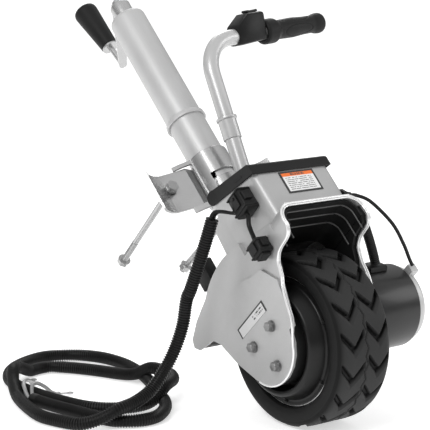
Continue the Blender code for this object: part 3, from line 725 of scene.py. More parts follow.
@dataclass(frozen=True)
class RatingFilm(Finish):
    """Silver film with a black line on its top and ends and a few dark dashes."""

    field: tuple[float, float] = (0.035, 0.87)          # where the line's sides and top start
    rows: float = 4

    def dress(self, shader: Shader) -> None:
        """Lay out the film from its own map, u across and v up.

        Args:
            shader: the material's nodes.
        """
        super().dress(shader)
        u, v = shader.uv()
        side, top = self.field
        row = v * self.rows
        dash = row.fraction().between(0.25, 0.75) * v.between(0.25, 0.75) * u.between(0.07, 0.48)
        words = shader.bits(u * 34, (row - row.fraction()) * 2.7, 1.0, 0.47)
        tone = shader.mix(1 - u.between(side, 1 - side) * v.below(top), grey(0.58), grey(0.02))
        tone = shader.mix(dash * words, tone, grey(0.02))
        shader.set(Base_Color=tone, Roughness=0.36, Metallic=0.2)


@dataclass(frozen=True)
class WheelFinish(Finish):
    """A finish that changes with the distance from the axle."""

    def reach(self, shader: Shader) -> Value:
        """Square of the distance from the axle: y * y + z * z.

        Args:
            shader: the material's nodes.

        Returns:
            The square, in square metres.
        """
        where = shader.node("ShaderNodeMapping", None, {
            "Vector": shader.node("ShaderNodeTexCoord").outputs["Object"],
            "Location": tuple(-c * MM for c in WHEEL_CENTRE)}).outputs[0]
        split = shader.node("ShaderNodeSeparateXYZ", None, {0: where})
        y, z = Value(shader, split.outputs[1]), Value(shader, split.outputs[2])
        return y * y + z * z


@dataclass(frozen=True)
class TyreFinish(WheelFinish):
    """Rubber with a painted highlight that makes the tops of the lugs paler, and painted shade that makes the
    grooves nearly black.
    """

    groove: tuple[float, float] = (0.1245, 0.1285)      # radii of a groove's floor and a lug's top
    tread: tuple[float, float] = (0.1185, 0.1205)       # radii where the wall turns into the tread

    def dress(self, shader: Shader) -> None:
        """Paint a highlight on the tread, and painted shade that darkens the grooves, fading out between the
        bottom of the grooves and the tops of the lugs.

        Args:
            shader: the material's nodes.
        """
        super().dress(shader)
        reach = self.reach(shader)
        groove = 1 - reach.eased(self.groove[0] ** 2, self.groove[1] ** 2)
        tread = reach.eased(self.tread[0] ** 2, self.tread[1] ** 2)
        base = shader.main.inputs["Base Color"].links[0].from_socket
        # painted highlight: the tread is made paler than the wall
        tone = shader.mix(tread * 0.7, base, grey(self.light * 2.6))
        # painted shade: the grooves are darkened nearly to black
        tone = shader.mix(groove * tread, tone, grey(self.dark * 0.35))
        shader.set(Base_Color=tone)


@dataclass(frozen=True)
class RimFinish(WheelFinish):
    """Satin black rim with a painted highlight, a bright metallic line, where it meets the tyre."""

    highlight_from: float = 0.0968

    def dress(self, shader: Shader) -> None:
        """Paint the highlight: lighten the rim beyond a radius from the axle.

        Args:
            shader: the material's nodes.
        """
        super().dress(shader)
        # painted highlight: the rim's edge by the tyre is made pale and metallic
        line = self.reach(shader).above(self.highlight_from ** 2)
        tone = shader.mix(line, shader.main.inputs["Base Color"].links[0].from_socket, grey(0.62))
        shader.set(Base_Color=tone, Metallic=line * 0.8)


WARNING = WarningFilm("warning film", Slot.FILM, 0.76, 0.82, (0.3, 0.4))
RATING = RatingFilm("rating film", Slot.FILM, 0.55, 0.6, (0.3, 0.4))
TYRE = TyreFinish("tyre rubber", Slot.TYRE, 0.006, 0.012, (0.5, 0.66), 0.0, 1900.0, 0.00007, 26.0, specks=0.06,
                  gloss=0.2)
RIM = RimFinish("rim with painted highlight line", Slot.PLASTIC, 0.005, 0.008, (0.28, 0.42), 0.0, 1600.0, 0.00003, 22.0,
                gloss=0.3)


# ---------------------------------------------------------------- pieces

def add(mesh: bpy.types.Mesh, finish: Finish, body: str, *replaced: str) -> bpy.types.Object:
    """Show a mesh as a piece of the same name.

    Args:
        mesh: the piece's mesh.
        finish: its finish.
        body: the body that it rides on.
        replaced: the CAD nodes that it stands for.

    Returns:
        The piece.
    """
    piece = bpy.data.objects.new(mesh.name, mesh)
    bpy.context.scene.collection.objects.link(piece)
    mesh.materials.clear()
    mesh.materials.append(finish.material())
    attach(piece, body)
    if replaced:
        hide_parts(*replaced)
    LOG.info("%s rides on %s", piece.name, body)
    return piece


def bevelled(piece: bpy.types.Object, width: float, segments: int = 2, angle: float = 30.0,
             harden: bool = False) -> bpy.types.Object:
    """Round a piece's sharp edges.

    Args:
        piece: the piece.
        width: the rounding's width in millimetres.
        segments: facets across it.
        angle: the least angle of an edge that it rounds, in degrees.
        harden: whether flat faces keep their own normals.

    Returns:
        The piece.
    """
    bevel = piece.modifiers.new("edge", "BEVEL")
    bevel.width, bevel.segments = width * MM, segments
    bevel.limit_method, bevel.angle_limit = "ANGLE", math.radians(angle)
    bevel.harden_normals = harden
    return piece


def edged(node: str, finish: Finish, width: float, segments: int = 2, angle: float = 34.0) -> None:
    """Stand a merged copy of a CAD node in for it, with its sharp edges rounded.

    Args:
        node: the CAD node.
        finish: the copy's finish.
        width: the rounding's width in millimetres.
        segments: facets across it.
        angle: the least angle of an edge that it rounds, in degrees.
    """
    source = frame["nodes"][node]
    points = np.empty(len(source.data.vertices) * 3, np.float32)
    source.data.vertices.foreach_get("co", points)
    mesh = bpy.data.meshes.new(f"{node}_edged")
    mesh.from_pydata(points.reshape(-1, 3), [], [tuple(p.vertices) for p in source.data.polygons])
    bm = bmesh.new()
    bm.from_mesh(mesh)
    bmesh.ops.remove_doubles(bm, verts=bm.verts, dist=WELD)
    bmesh.ops.dissolve_limit(bm, angle_limit=FLAT_ANGLE, verts=bm.verts, edges=bm.edges)
    bm.to_mesh(mesh)
    bm.free()
    bevelled(add(smoothed(mesh), finish, source["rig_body"], node), width, segments, angle, True)


def dress(finish: Finish, *nodes: str) -> None:
    """Give CAD nodes that keep their shape a finish.

    Args:
        finish: the finish.
        nodes: the nodes.
    """
    for node in nodes:
        for slot in frame["nodes"][node].material_slots:
            slot.material = finish.material()
        LOG.info("%s keeps its shape", node)


def label(name: str, corners: Sequence[Sequence[float]], thick: Sequence[float], finish: Finish,
          node: str) -> None:
    """Thin film with its own map: four corners, and the same corners moved by its thickness.

    Args:
        name: the piece's name.
        corners: the outer corners, anticlockwise from the lower left.
        thick: the way from the outer face to the inner one.
        finish: the film's finish.
        node: the CAD node that it stands for.
    """
    front = np.asarray(corners, float)
    points = np.vstack([front, front + np.asarray(thick, float)])
    faces = [(0, 1, 2, 3), (7, 6, 5, 4), (0, 4, 5, 1), (1, 5, 6, 2), (2, 6, 7, 3), (3, 7, 4, 0)]
    mesh = mesh_of(name, MAST.row(points), faces, merge=False)
    layer = mesh.uv_layers.new(name="map")
    square = [(0, 0), (1, 0), (1, 1), (0, 1)] * 2
    for loop in mesh.loops:
        layer.data[loop.index].uv = square[loop.vertex_index]
    add(mesh, finish, "fork", node)


# ---------------------------------------------------------------- sub-assemblies


@dataclass
class SupplyCord:
    """Corrugated conduit on the floor, the two cores that feed it and its two battery leads."""

    radius: float = 10.0
    pitch: float = 4.0
    groove: float = 1.6
    core: float = 2.6
    lead: float = 3.0
    route: tuple = (
        (-116, 86, 309), (-122, 96, 270), (-129, 106, 231), (-134, 116, 199), (-136, 123, 183),
        (-140, 128, 143), (-151, 135, 104), (-168, 140, 73), (-191, 141, 48), (-222, 138, 36),
        (-252, 137, 31), (-279, 148, 18), (-302, 169, 10), (-317, 205, 10), (-323, 244, 10),
        (-311, 302, 10), (-295, 351, 10), (-275, 396, 20), (-257, 424, 31), (-231, 452, 25),
        (-197, 468, 10), (-163, 471, 10), (-137, 445, 10), (-114, 407, 10), (-96, 367, 10),
        (-84, 334, 14), (-77, 297, 31), (-73, 258, 31), (-87, 224, 31), (-119, 200, 31),
        (-154, 190, 14), (-187, 194, 10), (-217, 207, 10), (-241, 234, 10), (-253, 271, 10),
        (-261, 314, 10), (-265, 362, 10), (-263, 406, 10), (-250, 451, 10), (-220, 491, 10),
        (-176, 519, 10), (-128, 529, 10), (-86, 509, 10), (-59, 468, 10), (-52, 415, 10),
        (-60, 361, 10), (-75, 312, 10), (-94, 265, 10), (-114, 223, 10), (-131, 186, 10),
        (-156, 153, 10), (-190, 129, 10), (-223, 130, 10), (-249, 150, 10), (-261, 188, 10),
        (-269, 226, 10), (-279, 274, 10), (-285, 323, 10))
    feeds: tuple = (
        ((-93, 60.9, 322.2), (-95, 66, 319), (-104, 74, 321), (-114, 81, 321),
         (-118.7, 83.8, 315.6), (-119.6, 85.3, 309.9)),
        ((-85, 60.9, 322.2), (-86, 67, 317.5), (-95, 76, 318.5), (-106, 83, 319.5),
         (-111.5, 85.2, 315), (-112.4, 86.7, 309.2)))
    leads: tuple = (
        ((-288.5, 328, 10), (-287.5, 336, 15), (-285, 346, 22), (-278, 360, 26), (-266, 373, 26),
         (-249, 389, 19), (-235, 405, 8), (-223, 421, 4)),
        ((-281, 328, 10), (-278, 336, 17), (-272, 344, 25), (-261, 348, 26), (-247, 348, 18),
         (-235, 345, 7), (-225, 341, 4)))
    boot: tuple = ((9.4, -15), (10, -13), (10, -1), (9, 1), (6.5, 1.6), (0, 1.6), (0, -3), (6, -4),
                   (8.5, -15))
    barrel: tuple = ((3.05, -9), (3.9, -9), (3.9, 1), (3.05, 2))
    eye: tuple = (18.0, 5.5, 0.9, 3.0)     # reach, radius, half thickness, half width of its neck

    def lug(self, name: str, line: np.ndarray) -> bpy.types.Object:
        """Crimped ring terminal at the end of a battery lead: barrel and flat eye.

        Args:
            name: the piece's name.
            line: the lead's path.

        Returns:
            The piece.
        """
        way = line[-1] - line[-3]
        place = FLOOR.inner(np.array(Matrix.Rotation(math.atan2(way[1], way[0]), 3, "Z")), line[-1])
        reach, radius, half, neck = self.eye
        outline = np.vstack([[(0, -neck)], arc((reach, 0), radius, -150, 150, 17), [(0, neck)]])
        barrel = lathe("barrel", self.barrel, place.inner(SIDEWAYS, (0, 0, 0)), 24, 0.3)
        return add(merged(name, [slab("eye", outline, -half, half, place), barrel]), ZINC, "fork")

    def build(self) -> None:
        """Make the conduit first, then the cores and leads that join it."""
        line = catmull(self.route, self.pitch / 4)
        line[:, 2] = np.maximum(line[:, 2], self.radius)
        hose = add(corrugated("supply_hose", line, self.radius, self.groove, FLOOR, 16), CONDUIT, "fork",
                   "supply_conduit")
        for i, route in enumerate(self.feeds, 1):
            path = catmull(route, 1.0)
            piece = add(sweep(f"feed_core_{i}", path, self.core, FLOOR), PLASTIC, "fork", f"feed_lead_{i}")
        end = FLOOR.along(line[-1] - line[-8], line[-1])
        cap = add(lathe("hose_boot", self.boot, end, 40, 0.6), GRIP_RUBBER, "fork")
        for i, route in enumerate(self.leads, 1):
            path = catmull(route, 1.2)
            tip = self.lug(f"battery_lug_{i}", path)
            piece = add(sweep(f"battery_core_{i}", path, self.lead, FLOOR), LEAD, "fork", f"battery_lead_{i}")


@dataclass
class Wheel:
    """Tyre with two rows of arrow grooves, and its black rim."""

    lugs: int = 17
    steps_per_lug: int = 48
    slope: float = 1.15
    apex: float = 24.0
    depth: float = 7.0
    half_groove: float = 5.2
    wall: float = 1.8
    stagger: float = 0.2                                # of a lug, between the two rows
    ledge: tuple = (5.0, 12.5, 0.42)                    # start, end and depth beside a groove
    centre_band: tuple = (2.6, 2.2)                     # half width without grooves, and its ramp
    shoulder_band: tuple = (45.5, 2.5)
    seam: tuple = (2.4, 0.9, 1.2, 0.35)                 # swing, half width, wall and depth
    tread_start: tuple = (120.0, 4.0)                   # radius where the grooves begin, and their ramp
    wall_ridge: tuple = (108.0, 1.6, 0.7)               # radius, width and height
    outline: tuple = ((99.3, 48), (117, 50), (124, 49), (129, 42), (130, 30), (130, -30), (129, -42),
                      (124, -49), (117, -50), (99.3, -48))
    rim: tuple = ((98.7, 41), (98.7, -41), (96, -42), (88, -41), (79.5, -66), (74, -67), (70.5, -65),
                  (70.5, -32), (26, -32), (26, -37), (21, -37), (21, 34.7), (60.3, 34.7), (60.3, 50),
                  (65, 50), (65, 29), (26, 29), (26, -27), (74.5, -27), (74.5, -60), (77, -60), (86, -36),
                  (93.5, -34), (93.5, 41))
    studs: int = 6
    stud_place: tuple = (91.6, -41.0, 0.3)              # radius, face and first angle
    stud_end: tuple = ((0, 2.0), (1.7, 2.0), (1.7, 4.6), (1.2, 5.1), (0, 5.1))
    drum: tuple = ((12.3, -77.7), (62, -77.7), (62, -45), (12.3, -45))

    def profile(self) -> np.ndarray:
        """Space the tyre's section.

        Returns:
            Its points, 1.5 mm apart across the tread and 4.5 mm apart elsewhere.
        """
        smooth = rounded(self.outline, 6.0, True, 8)
        loop = np.column_stack([np.vstack([smooth, smooth[:1]]), np.zeros(len(smooth) + 1)])
        fine = evenly(loop, 0.5)[:-1, :2]
        number = np.arange(len(fine))
        tread = (fine[:, 0] > 122) & (np.abs(fine[:, 1]) < 47)
        return fine[np.where(tread, number % 3 == 0, number % 9 == 0)]

    def groove(self, run: np.ndarray, x: np.ndarray) -> np.ndarray:
        """Tread pattern: arrow grooves at u + slope * ||x| - apex| = constant, and a zigzag seam.

        Args:
            run: distance round the tyre.
            x: distance along the axle.

        Returns:
            The depth, from 0 to 1.
        """
        pitch = math.tau * WHEEL_R / self.lugs
        phase = (run + self.slope * np.abs(np.abs(x) - self.apex)) / pitch + self.stagger * (x > 0)
        off = (phase % 1.0 - 0.5) * pitch
        arrow = np.clip((self.half_groove - np.abs(off)) / self.wall + 0.5, 0, 1)
        start, end, level = self.ledge
        arrow = np.maximum(arrow, level * np.clip((end - off) / (end - start), 0, 1) * (off > 0))
        (bare, ramp), (edge, fade) = self.centre_band, self.shoulder_band
        arrow *= np.clip((np.abs(x) - bare) / ramp, 0, 1) * np.clip((edge - np.abs(x)) / fade, 0, 1)
        swing, half, wall, depth = self.seam
        zigzag = swing * (np.abs((run / pitch * 4) % 2 - 1) * 2 - 1)
        return np.maximum(arrow, np.clip((half - np.abs(x - zigzag)) / wall + 0.5, 0, 1) * depth)

    def tyre(self) -> bpy.types.Mesh:
        """Section turned about the axle: radius = section radius - depth * groove(u, x).

        Returns:
            The tyre.
        """
        section = self.profile()
        steps = self.lugs * self.steps_per_lug
        angle = np.linspace(0, math.tau, steps, endpoint=False)[None, :]
        r, x = section[:, :1], section[:, 1:]
        start, ramp = self.tread_start
        cut = self.depth * np.clip((r - start) / ramp, 0, 1) * self.groove(angle * WHEEL_R, x + 0 * angle)
        middle, width, height = self.wall_ridge
        ridge = height * np.exp(-((r - middle) / width) ** 2) * np.sign(x) * (r < start + 1)
        return mesh_of("tyre_casing", AXLE.row(turned(r - cut, x + ridge, angle)),
                       grid_faces(len(section), steps, True, True), merge=False)

    def rim_studs(self) -> bpy.types.Mesh:
        """Nuts with stud ends round the rim.

        Returns:
            All of them.
        """
        radius, face, first = self.stud_place
        parts = []
        for turn in np.arange(self.studs) * math.tau / self.studs + first:
            place = AXLE.inner(np.diag([1, -1, -1]), (radius * math.cos(turn), radius * math.sin(turn), face))
            parts += [slab("nut", hexagon(3.2), 0, 2.6, place),
                      lathe("end", self.stud_end, place, 20, closed=False)]
        return merged("rim_studs", parts)

    def build(self) -> None:
        """Add the tyre and the rim, and dress the bearings and the gears."""
        add(self.tyre(), TYRE, "wheel", "tyre")
        add(lathe("rim_body", self.rim, AXLE, 128, 3.0), RIM, "wheel", "wheel_rim")
        add(self.rim_studs(), ENAMEL, "wheel")
        dress(STEEL, "hub_bearing_left", "hub_bearing_right", "ring_gear", "idler_gear", "idler_pin", "axle")
        dress(COPPER, "motor_rotor")
        dress(BRASS, "motor_pinion")
        add(lathe("drum_body", self.drum, AXLE, 96, 1.5), ENAMEL, "fork", "gear_drum")
        dress(LINER, "gear_cover")


@dataclass
class Fork:
    """Silver fork, its lip beads with a painted highlight, lid, liner, films, bolts and bracket."""

    cheek: float = -83.9                                # x of the left cheek's edge
    lobe: tuple = (-3.0, -1.0, 61.4)                    # y, z and radius of the cheek's round end
    lip: tuple = ((-83.9, -76, -9), (-83.9, -84, 12), (-83.4, -93, 36), (-80.2, -99, 51), (-79.6, -103.5, 62),
                  (-79.6, -109.5, 74), (-79.6, -124, 83), (-79.6, -152, 86.5), (-79.6, -162.3, 97))
    lip_beads: tuple = ((0.0, 1.9), (3.4, 1.2))         # inset and radius
    hood: tuple = (79.6, 134.6, 26.5, -162.6)           # half width, top, corner radius and front
    rib_depths: tuple = (-148, -128, -106)
    rib: tuple = (66.4, 18.6, 84.0, 110.0)              # half width, corner radius, foot and shoulder
    lid_end: tuple = (-47.5, 237.4, 11.4)               # y, z and radius of its round corner
    lid_ends: tuple = (("lid_end_left", -76.6), ("lid_end_right", 73.4))
    lid_end_thick: float = 3.2
    lid_slope: float = math.atan2(27.5, 102)
    panel: tuple = (58, 20, 38, 8)                      # half width, back, front and corner radius
    screws: tuple = ((-67, -40), (67, -40), (-67, 38), (67, 38))
    screw: tuple = ((0, -0.6), (4.4, -0.6), (4.4, 0.9), (3.2, 2.1), (0, 2.4))
    warning: tuple = ((-28.5, -149.9, 160.5), (37.5, -149.9, 160.5), (37.5, -149.9, 199.5),
                      (-28.5, -149.9, 199.5))
    rating: tuple = ((-85.9, -42, 34), (-85.9, 36, 36.6), (-85.9, 36, 53.5), (-85.9, -42, 52))
    film: float = 0.55
    bolts: tuple = ((-33.7, 11.2), (22.3, 12.6), (-2.9, -38.7))
    bolt_face: float = -85.3
    dome: tuple = ((0, 4), (6.3, 4), (6.3, 9.2), (5.6, 9.9), (0, 9.9))

    def lip_path(self, inset: float) -> np.ndarray:
        """Edge of the opening: up the left cheek, round the hood and down the right cheek.

        Args:
            inset: how far inside the outer edge it runs.

        Returns:
            The path.
        """
        x, top, corner = (size - inset for size in self.hood[:3])
        y, z, radius = self.lobe
        half = [(self.cheek, a, b) for a, b in arc((y, z), radius, 330, 212, 12)]
        half += [(a + inset, b, c) for a, b, c in self.lip]
        half += [(a, self.hood[3], b) for a, b in arc((corner - x, top - corner), corner, 180, 90, 7)]
        return catmull(mirrored(half), 2.5)

    def liner_ribs(self) -> None:
        """Add the thin ribs that cross the liner's crown, painted paler than the liner as a highlight."""
        x, corner, foot, shoulder = self.rib
        for i, depth in enumerate(self.rib_depths, 1):
            bend = arc((corner - x, shoulder), corner, 180, 90, 7)
            half = [(-x, depth, foot)] + [(a, depth, b) for a, b in bend]
            add(sweep(f"liner_rib_{i}", catmull(mirrored(half), 3), 1.3, MAST, 10), LINER_RIB_HIGHLIGHT, "fork")

    def lid(self) -> None:
        """Add the lid with its rolled ends, a dark sheet as painted shade for the slot in one of them, the
        raised panel and the screws.
        """
        edged("top_cover", PLASTIC, 3.2, 4, 20.0)
        y, z, radius = self.lid_end
        outline = np.vstack([arc((y, z), radius, -92, 106, 24), [(-58, 246), (-58, 223.6)]])
        for name, x in self.lid_ends:
            bevelled(add(slab(name, outline, x, x + self.lid_end_thick, AXLE), PLASTIC, "fork"), 1.0, 3)
        slot = AXLE.inner(np.array(Matrix.Rotation(math.radians(15), 3, "Z")), (-118, 218.5, 0))
        # painted shade: a thin dark sheet on the lid end stands in for the slot
        slot_shade_outline = np.vstack([arc((8, 0), 2.4, -90, 90, 9), arc((-8, 0), 2.4, 90, 270, 9)])
        add(slab("lid_slot_shade", slot_shade_outline, -77.0, -76.0, slot), LINER, "fork")
        top = MAST.inner(np.array(Matrix.Rotation(self.lid_slope, 3, "X")), (0, -97, 235.4))
        wide, back, front, corner = self.panel
        panel = np.vstack([arc((a, b), corner, start, start + 90, 6) for start, a, b in (
            (0, wide - corner, back - corner), (90, corner - wide, back - corner),
            (180, corner - wide, corner - front), (270, wide - corner, corner - front))])
        bevelled(add(slab("lid_panel", panel, -0.4, 1.1, top), PLASTIC, "fork"), 0.6)
        for i, (a, b) in enumerate(self.screws, 1):
            place = top.inner(np.eye(3), (a, b, 0))
            add(lathe(f"lid_screw_{i}", self.screw, place, 36, 0.5, closed=False), ZINC, "fork")

    def plate_bolt(self, name: str, at: tuple[float, float], node: str) -> None:
        """Hex head over a spring washer and a flat washer, its shank in the drum.

        Args:
            name: the piece's name.
            at: its y and z on the left plate.
            node: the CAD node that it stands for.
        """
        place = MAST.along((-1, 0, 0), (self.bolt_face, *at))
        parts = [lathe("flat", section(4.2, 8.9, 0, 1.2), place, 48, 0.25),
                 lathe("spring_low", section(4.2, 7.6, 1.4, 2.6), place, 48, 0.3),
                 lathe("spring_high", section(4.2, 7.6, 2.8, 4.0), place, 48, 0.3),
                 slab("head", hexagon(7.5, 0.4), 4.1, 9.0, place),
                 lathe("dome", self.dome, place, 48, 0.3, closed=False),
                 lathe("shank", section(0, 3.9, -7, 4), place, 24, closed=False)]
        add(merged(name, parts), BOLT_ZINC, "fork", node)

    def build(self) -> None:
        """Add everything that is fixed to the fork around the wheel."""
        edged("fork_housing", SILVER, 1.1)
        # the lip beads are painted paler than the fork as a highlight
        for i, (inset, radius) in enumerate(self.lip_beads, 1):
            add(sweep(f"lip_bead_{i}", self.lip_path(inset), radius, MAST, 12), LIP_HIGHLIGHT_PAINT, "fork")
        edged("inner_liner", LINER, 0.5)
        self.liner_ribs()
        self.lid()
        edged("mast_bracket", SILVER, 0.8)
        edged("relay_box", PLASTIC, 1.0)
        label("warning_film", self.warning, (0, self.film, 0), WARNING, "warning_label")
        label("rating_film", self.rating, (self.film, 0, 0), RATING, "rating_label")
        for i, at in enumerate(self.bolts, 1):
            self.plate_bolt(f"plate_screw_{i}", at, f"plate_bolt_{i}")


@dataclass
class Mast:
    """Tubes, screw, crank, clamp and the two long bolts."""

    tube: tuple = ((28.5, 645), (30, 641), (30, 172), (27, 172), (27, 645))
    ring: tuple = ((33, 426), (34, 418), (30.1, 418), (30.1, 426))
    inner: tuple = ((25.5, 176.3), (25.5, 560), (22, 560), (22, 176.3))
    spindle: tuple = ((0, 676), (15, 676), (17, 674), (17, 650), (15, 648), (9, 648), (9, 192), (7, 190),
                      (0, 190))
    handle: tuple = ((0, 91), (17, 91), (20.5, 88), (21.5, 82), (15.5, 4), (15.5, 0), (5.3, 0), (5.3, 87),
                     (0, 87))
    handle_aim: tuple = (-0.085, 0.045, 1.0)
    handle_rise: float = 46.8
    crank_end: tuple = (178, math.radians(62), 678)     # reach, angle and height of the crank's pin
    thread: tuple = (5.02, 0.36, 1.5)                   # core radius, depth and pitch
    thread_sides: int = 24
    bolt_ends: tuple = (("left", (0, 1, 0), (-82, 16.2, 309), 138, 195),
                        ("right", (-67, 185, -27), (84, 13, 300), 146, 203))

    def threads(self, name: str, place: Place, low: float, high: float) -> None:
        """Screw thread: radius = core + depth * triangle(height / pitch - angle / 360).

        Args:
            name: the piece's name.
            place: axes whose z is the bolt's.
            low: where the thread starts.
            high: where it ends.
        """
        core, depth, pitch = self.thread
        sides = self.thread_sides
        angle = np.linspace(0, math.tau, sides, endpoint=False)[None, :]
        h = np.arange(low, high, pitch / 4)[:, None]
        wave = np.abs(((h / pitch - angle / math.tau) % 1.0) * 2 - 1)
        first, last = (np.tile((0.0, 0.0, z), (sides, 1)) for z in (low, h[-1, 0]))
        points = np.vstack([first, turned(core + depth * wave, h, angle), last])
        add(mesh_of(name, place.row(points), grid_faces(len(h) + 2, sides, False, True)), ZINC, "outer_mast")

    def build(self) -> None:
        """Add the mast from the outside in, then the clamp and the crank."""
        add(lathe("mast_tube", self.tube, MAST, 112, 1.2), MAST_ZINC, "outer_mast", "outer_tube")
        add(lathe("mast_ring", self.ring, MAST, 96, 0.8), MAST_ZINC, "outer_mast", "stop_ring")
        add(lathe("inner_column", self.inner, MAST, 96, 0.6), ZINC, "inner_mast", "inner_tube")
        add(lathe("screw_spindle", self.spindle, MAST, 64, 0.9, closed=False), ZINC, "crank", "lead_screw")
        dress(ZINC, "tube_foot", "swivel_bearing")
        dress(STEEL, "screw_bearing")
        dress(BRASS, "lead_nut")
        edged("clamp_collar", ZINC, 0.9)
        edged("clamp_saddle", ZINC, 0.9)
        for side, way, start, low, high in self.bolt_ends:
            edged(f"clamp_bolt_{side}", ZINC, 0.6)
            edged(f"clamp_nut_{side}", ZINC, 0.6)
            self.threads(f"bolt_thread_{side}", MAST.along(way, start), low, high)
        edged("crank_arm", ZINC, 0.7)
        reach, turn, height = self.crank_end
        aim = Vector(self.handle_aim).normalized()
        foot = Vector((reach * math.cos(turn), reach * math.sin(turn), height)) + self.handle_rise * aim
        add(lathe("crank_handle", self.handle, MAST.along(aim, foot), 72, 2.2, closed=False), GRIP_RUBBER,
            "crank_grip", "crank_grip")


@dataclass
class Handlebar:
    """Bent bar with its sleeve, rubber grip and switch housing."""

    bar: float = 12.7
    stem: tuple = (0.0, -45.5, 138.0)
    stem_length: float = 242.0
    bend_radius: float = 62.0
    bend_back: float = 66.3                             # from the grip's start to the tubes' crossing
    grip_end: float = 187.0
    sleeve_rise: float = 78.0
    sleeve: tuple = ((13, 0), (14.6, 0), (14.6, 31), (16.6, 32), (16.6, 36), (13, 36))
    grip_outline: tuple = ((0, 195), (12, 195), (16, 192.5), (17.2, 187), (16.5, 179), (14.4, 172),
                           (14.8, 150), (16.4, 128), (15.9, 104), (15.6, 93), (18, 89), (20.5, 84),
                           (20.5, 64), (18, 61), (13, 61), (13, 188), (0, 188))
    oval: tuple = (132.0, 31.0, 0.62)                   # middle, half length and half angle
    oval_line: tuple = (0.13, 0.08, 0.7)                # half width, wall and depth

    def path(self) -> tuple[np.ndarray, Vector, Vector]:
        """Centreline: a straight stem, a bend of one radius and a straight grip.

        Returns:
            The line, its foot and the stem's direction.
        """
        along, start = GRIP_TURN @ Vector((0, 0, 1)), Vector(GRIP_START)
        up = Vector(self.stem).normalized()
        bend = start - self.bend_back * along
        foot = bend - self.stem_length * up
        turn = up.angle(along)
        centre = bend + (along - up).normalized() * (self.bend_radius / math.cos(turn / 2))
        reach = bend - up * self.bend_radius * math.tan(turn / 2) - centre
        spin = up.cross(along).normalized()
        curve = [centre + Matrix.Rotation(turn * i / 30, 3, spin) @ reach for i in range(31)]
        line = [foot, foot + 60 * up] + curve + [bend + 90 * along, start + self.grip_end * along]
        return evenly(np.array([tuple(p) for p in line]), 4.0), foot, up

    def grip(self) -> bpy.types.Mesh:
        """Rubber grip: its outline turned about the bar, less an oval line on each of four sides.

        The line is where ((h - middle) / half length)^2 + (angle / half angle)^2 is near 1.

        Returns:
            The grip.
        """
        corners = rounded(self.grip_outline, 3.0, False, 6)
        line = evenly(np.column_stack([corners, np.zeros(len(corners))]), 0.9)
        r, h = line[:, :1], line[:, 1:2]
        angle = np.linspace(0, math.tau, 112, endpoint=False)[None, :]
        quarter = (angle + 0.4) % (math.tau / 4) - math.tau / 8
        middle, half_length, half_angle = self.oval
        oval = ((h - middle) / half_length) ** 2 + (quarter / half_angle) ** 2
        width, wall, depth = self.oval_line
        outside = np.clip((r - self.bar - 1.1) / 0.4, 0, 1)
        r = r - depth * outside * np.clip((width - np.abs(oval - 1)) / wall, 0, 1)
        return mesh_of("rubber_grip", GRIP.row(turned(r, h, angle)), grid_faces(len(line), 112, False, True))

    def build(self) -> None:
        """Add the bar and what sits on it."""
        line, foot, up = self.path()
        add(sweep("bar_tube", line, self.bar, MAST, 48), WHITE_BAR, "fork", "handlebar")
        collar = MAST.along(up, foot + self.sleeve_rise * up)
        add(lathe("bar_socket", self.sleeve, collar, 72, 0.7), WHITE_BAR, "fork", "bar_sleeve")
        dress(SILVER, "handlebar_base")
        add(self.grip(), GRIP_RUBBER, "fork", "hand_grip")
        edged("switch_housing", PLASTIC, 2.0, 3)
        edged("rocker_switch", PLASTIC, 0.5)


@dataclass
class Motor:
    """Dark sleeve, bright end cap, terminal cover and the motor's wiring."""

    cap: tuple = ((0, 207), (50, 207), (58, 204), (61, 198), (61, 188.3), (56, 188.3), (56, 200), (0, 200))
    ear: tuple = ((190, -72, 38), (204, -54, 52))
    boss: tuple = ((0, 210.5), (14, 210.5), (17, 209), (19, 206), (0, 206))
    ridge: tuple = ((42, 206), (43, 208.2), (46, 208.2), (47, 206))
    bolt_ring: tuple = (33, 206.8, (40, 220))           # radius, face and angles in degrees
    hose: tuple = ((82.5, -119, 113), (91, -120, 113), (103, -120, 109.5), (113, -107, 100),
                   (127, -86, 87), (136, -70.5, 76.5), (140, -62.5, 70.2))
    hose_size: tuple = (7.6, 1.2)                       # radius and groove depth
    cable: tuple = ((94.6, -136.4, 151.6), (105, -137, 148.5), (125, -136, 134), (155, -122, 99.6),
                    (175, -101.4, 73.9), (189, -82, 54.5), (194.5, -75.4, 47.4))

    def cap_bolts(self) -> None:
        """Add a hex head on a washer at each of the cap's two tie bolts."""
        radius, face, angles = self.bolt_ring
        for i, turn in enumerate(np.radians(angles), 1):
            place = MOTOR.inner(np.eye(3), (radius * math.cos(turn), radius * math.sin(turn), face))
            washer = lathe("washer", section(0, 6.2, 0, 0.9), place, 32, 0.2, closed=False)
            add(merged(f"cap_bolt_{i}", [washer, slab("head", hexagon(5.0), 1.0, 4.4, place)]), ZINC, "fork")

    def build(self) -> None:
        """Add the motor's outside and dress its inside."""
        add(lathe("motor_barrel", section(61, 65, 91.3, 188), MOTOR, 120, 0.9), ENAMEL, "fork", "motor_sleeve")
        parts = [lathe("cap", self.cap, MOTOR, 120, 1.6, closed=False), box(*self.ear, MAST),
                 lathe("boss", self.boss, MOTOR, 72, 1.0, closed=False),
                 lathe("ridge", self.ridge, MOTOR, 96, 0.6)]
        add(merged("motor_cap", parts), MAST_ZINC, "fork", "motor_end_cap")
        self.cap_bolts()
        dress(ZINC, "motor_flange")
        dress(ENAMEL, "motor_magnets")
        edged("terminal_cover", PLASTIC, 1.4, 3)
        radius, groove = self.hose_size
        add(corrugated("motor_hose", catmull(self.hose, 0.9), radius, groove, MAST, 20), CONDUIT, "fork",
            "motor_conduit")
        add(sweep("cap_cable", catmull(self.cable, 2.0), 2.8, MAST), CONDUIT, "fork", "motor_cable")
        edged("cable_relief", PLASTIC, 0.4)


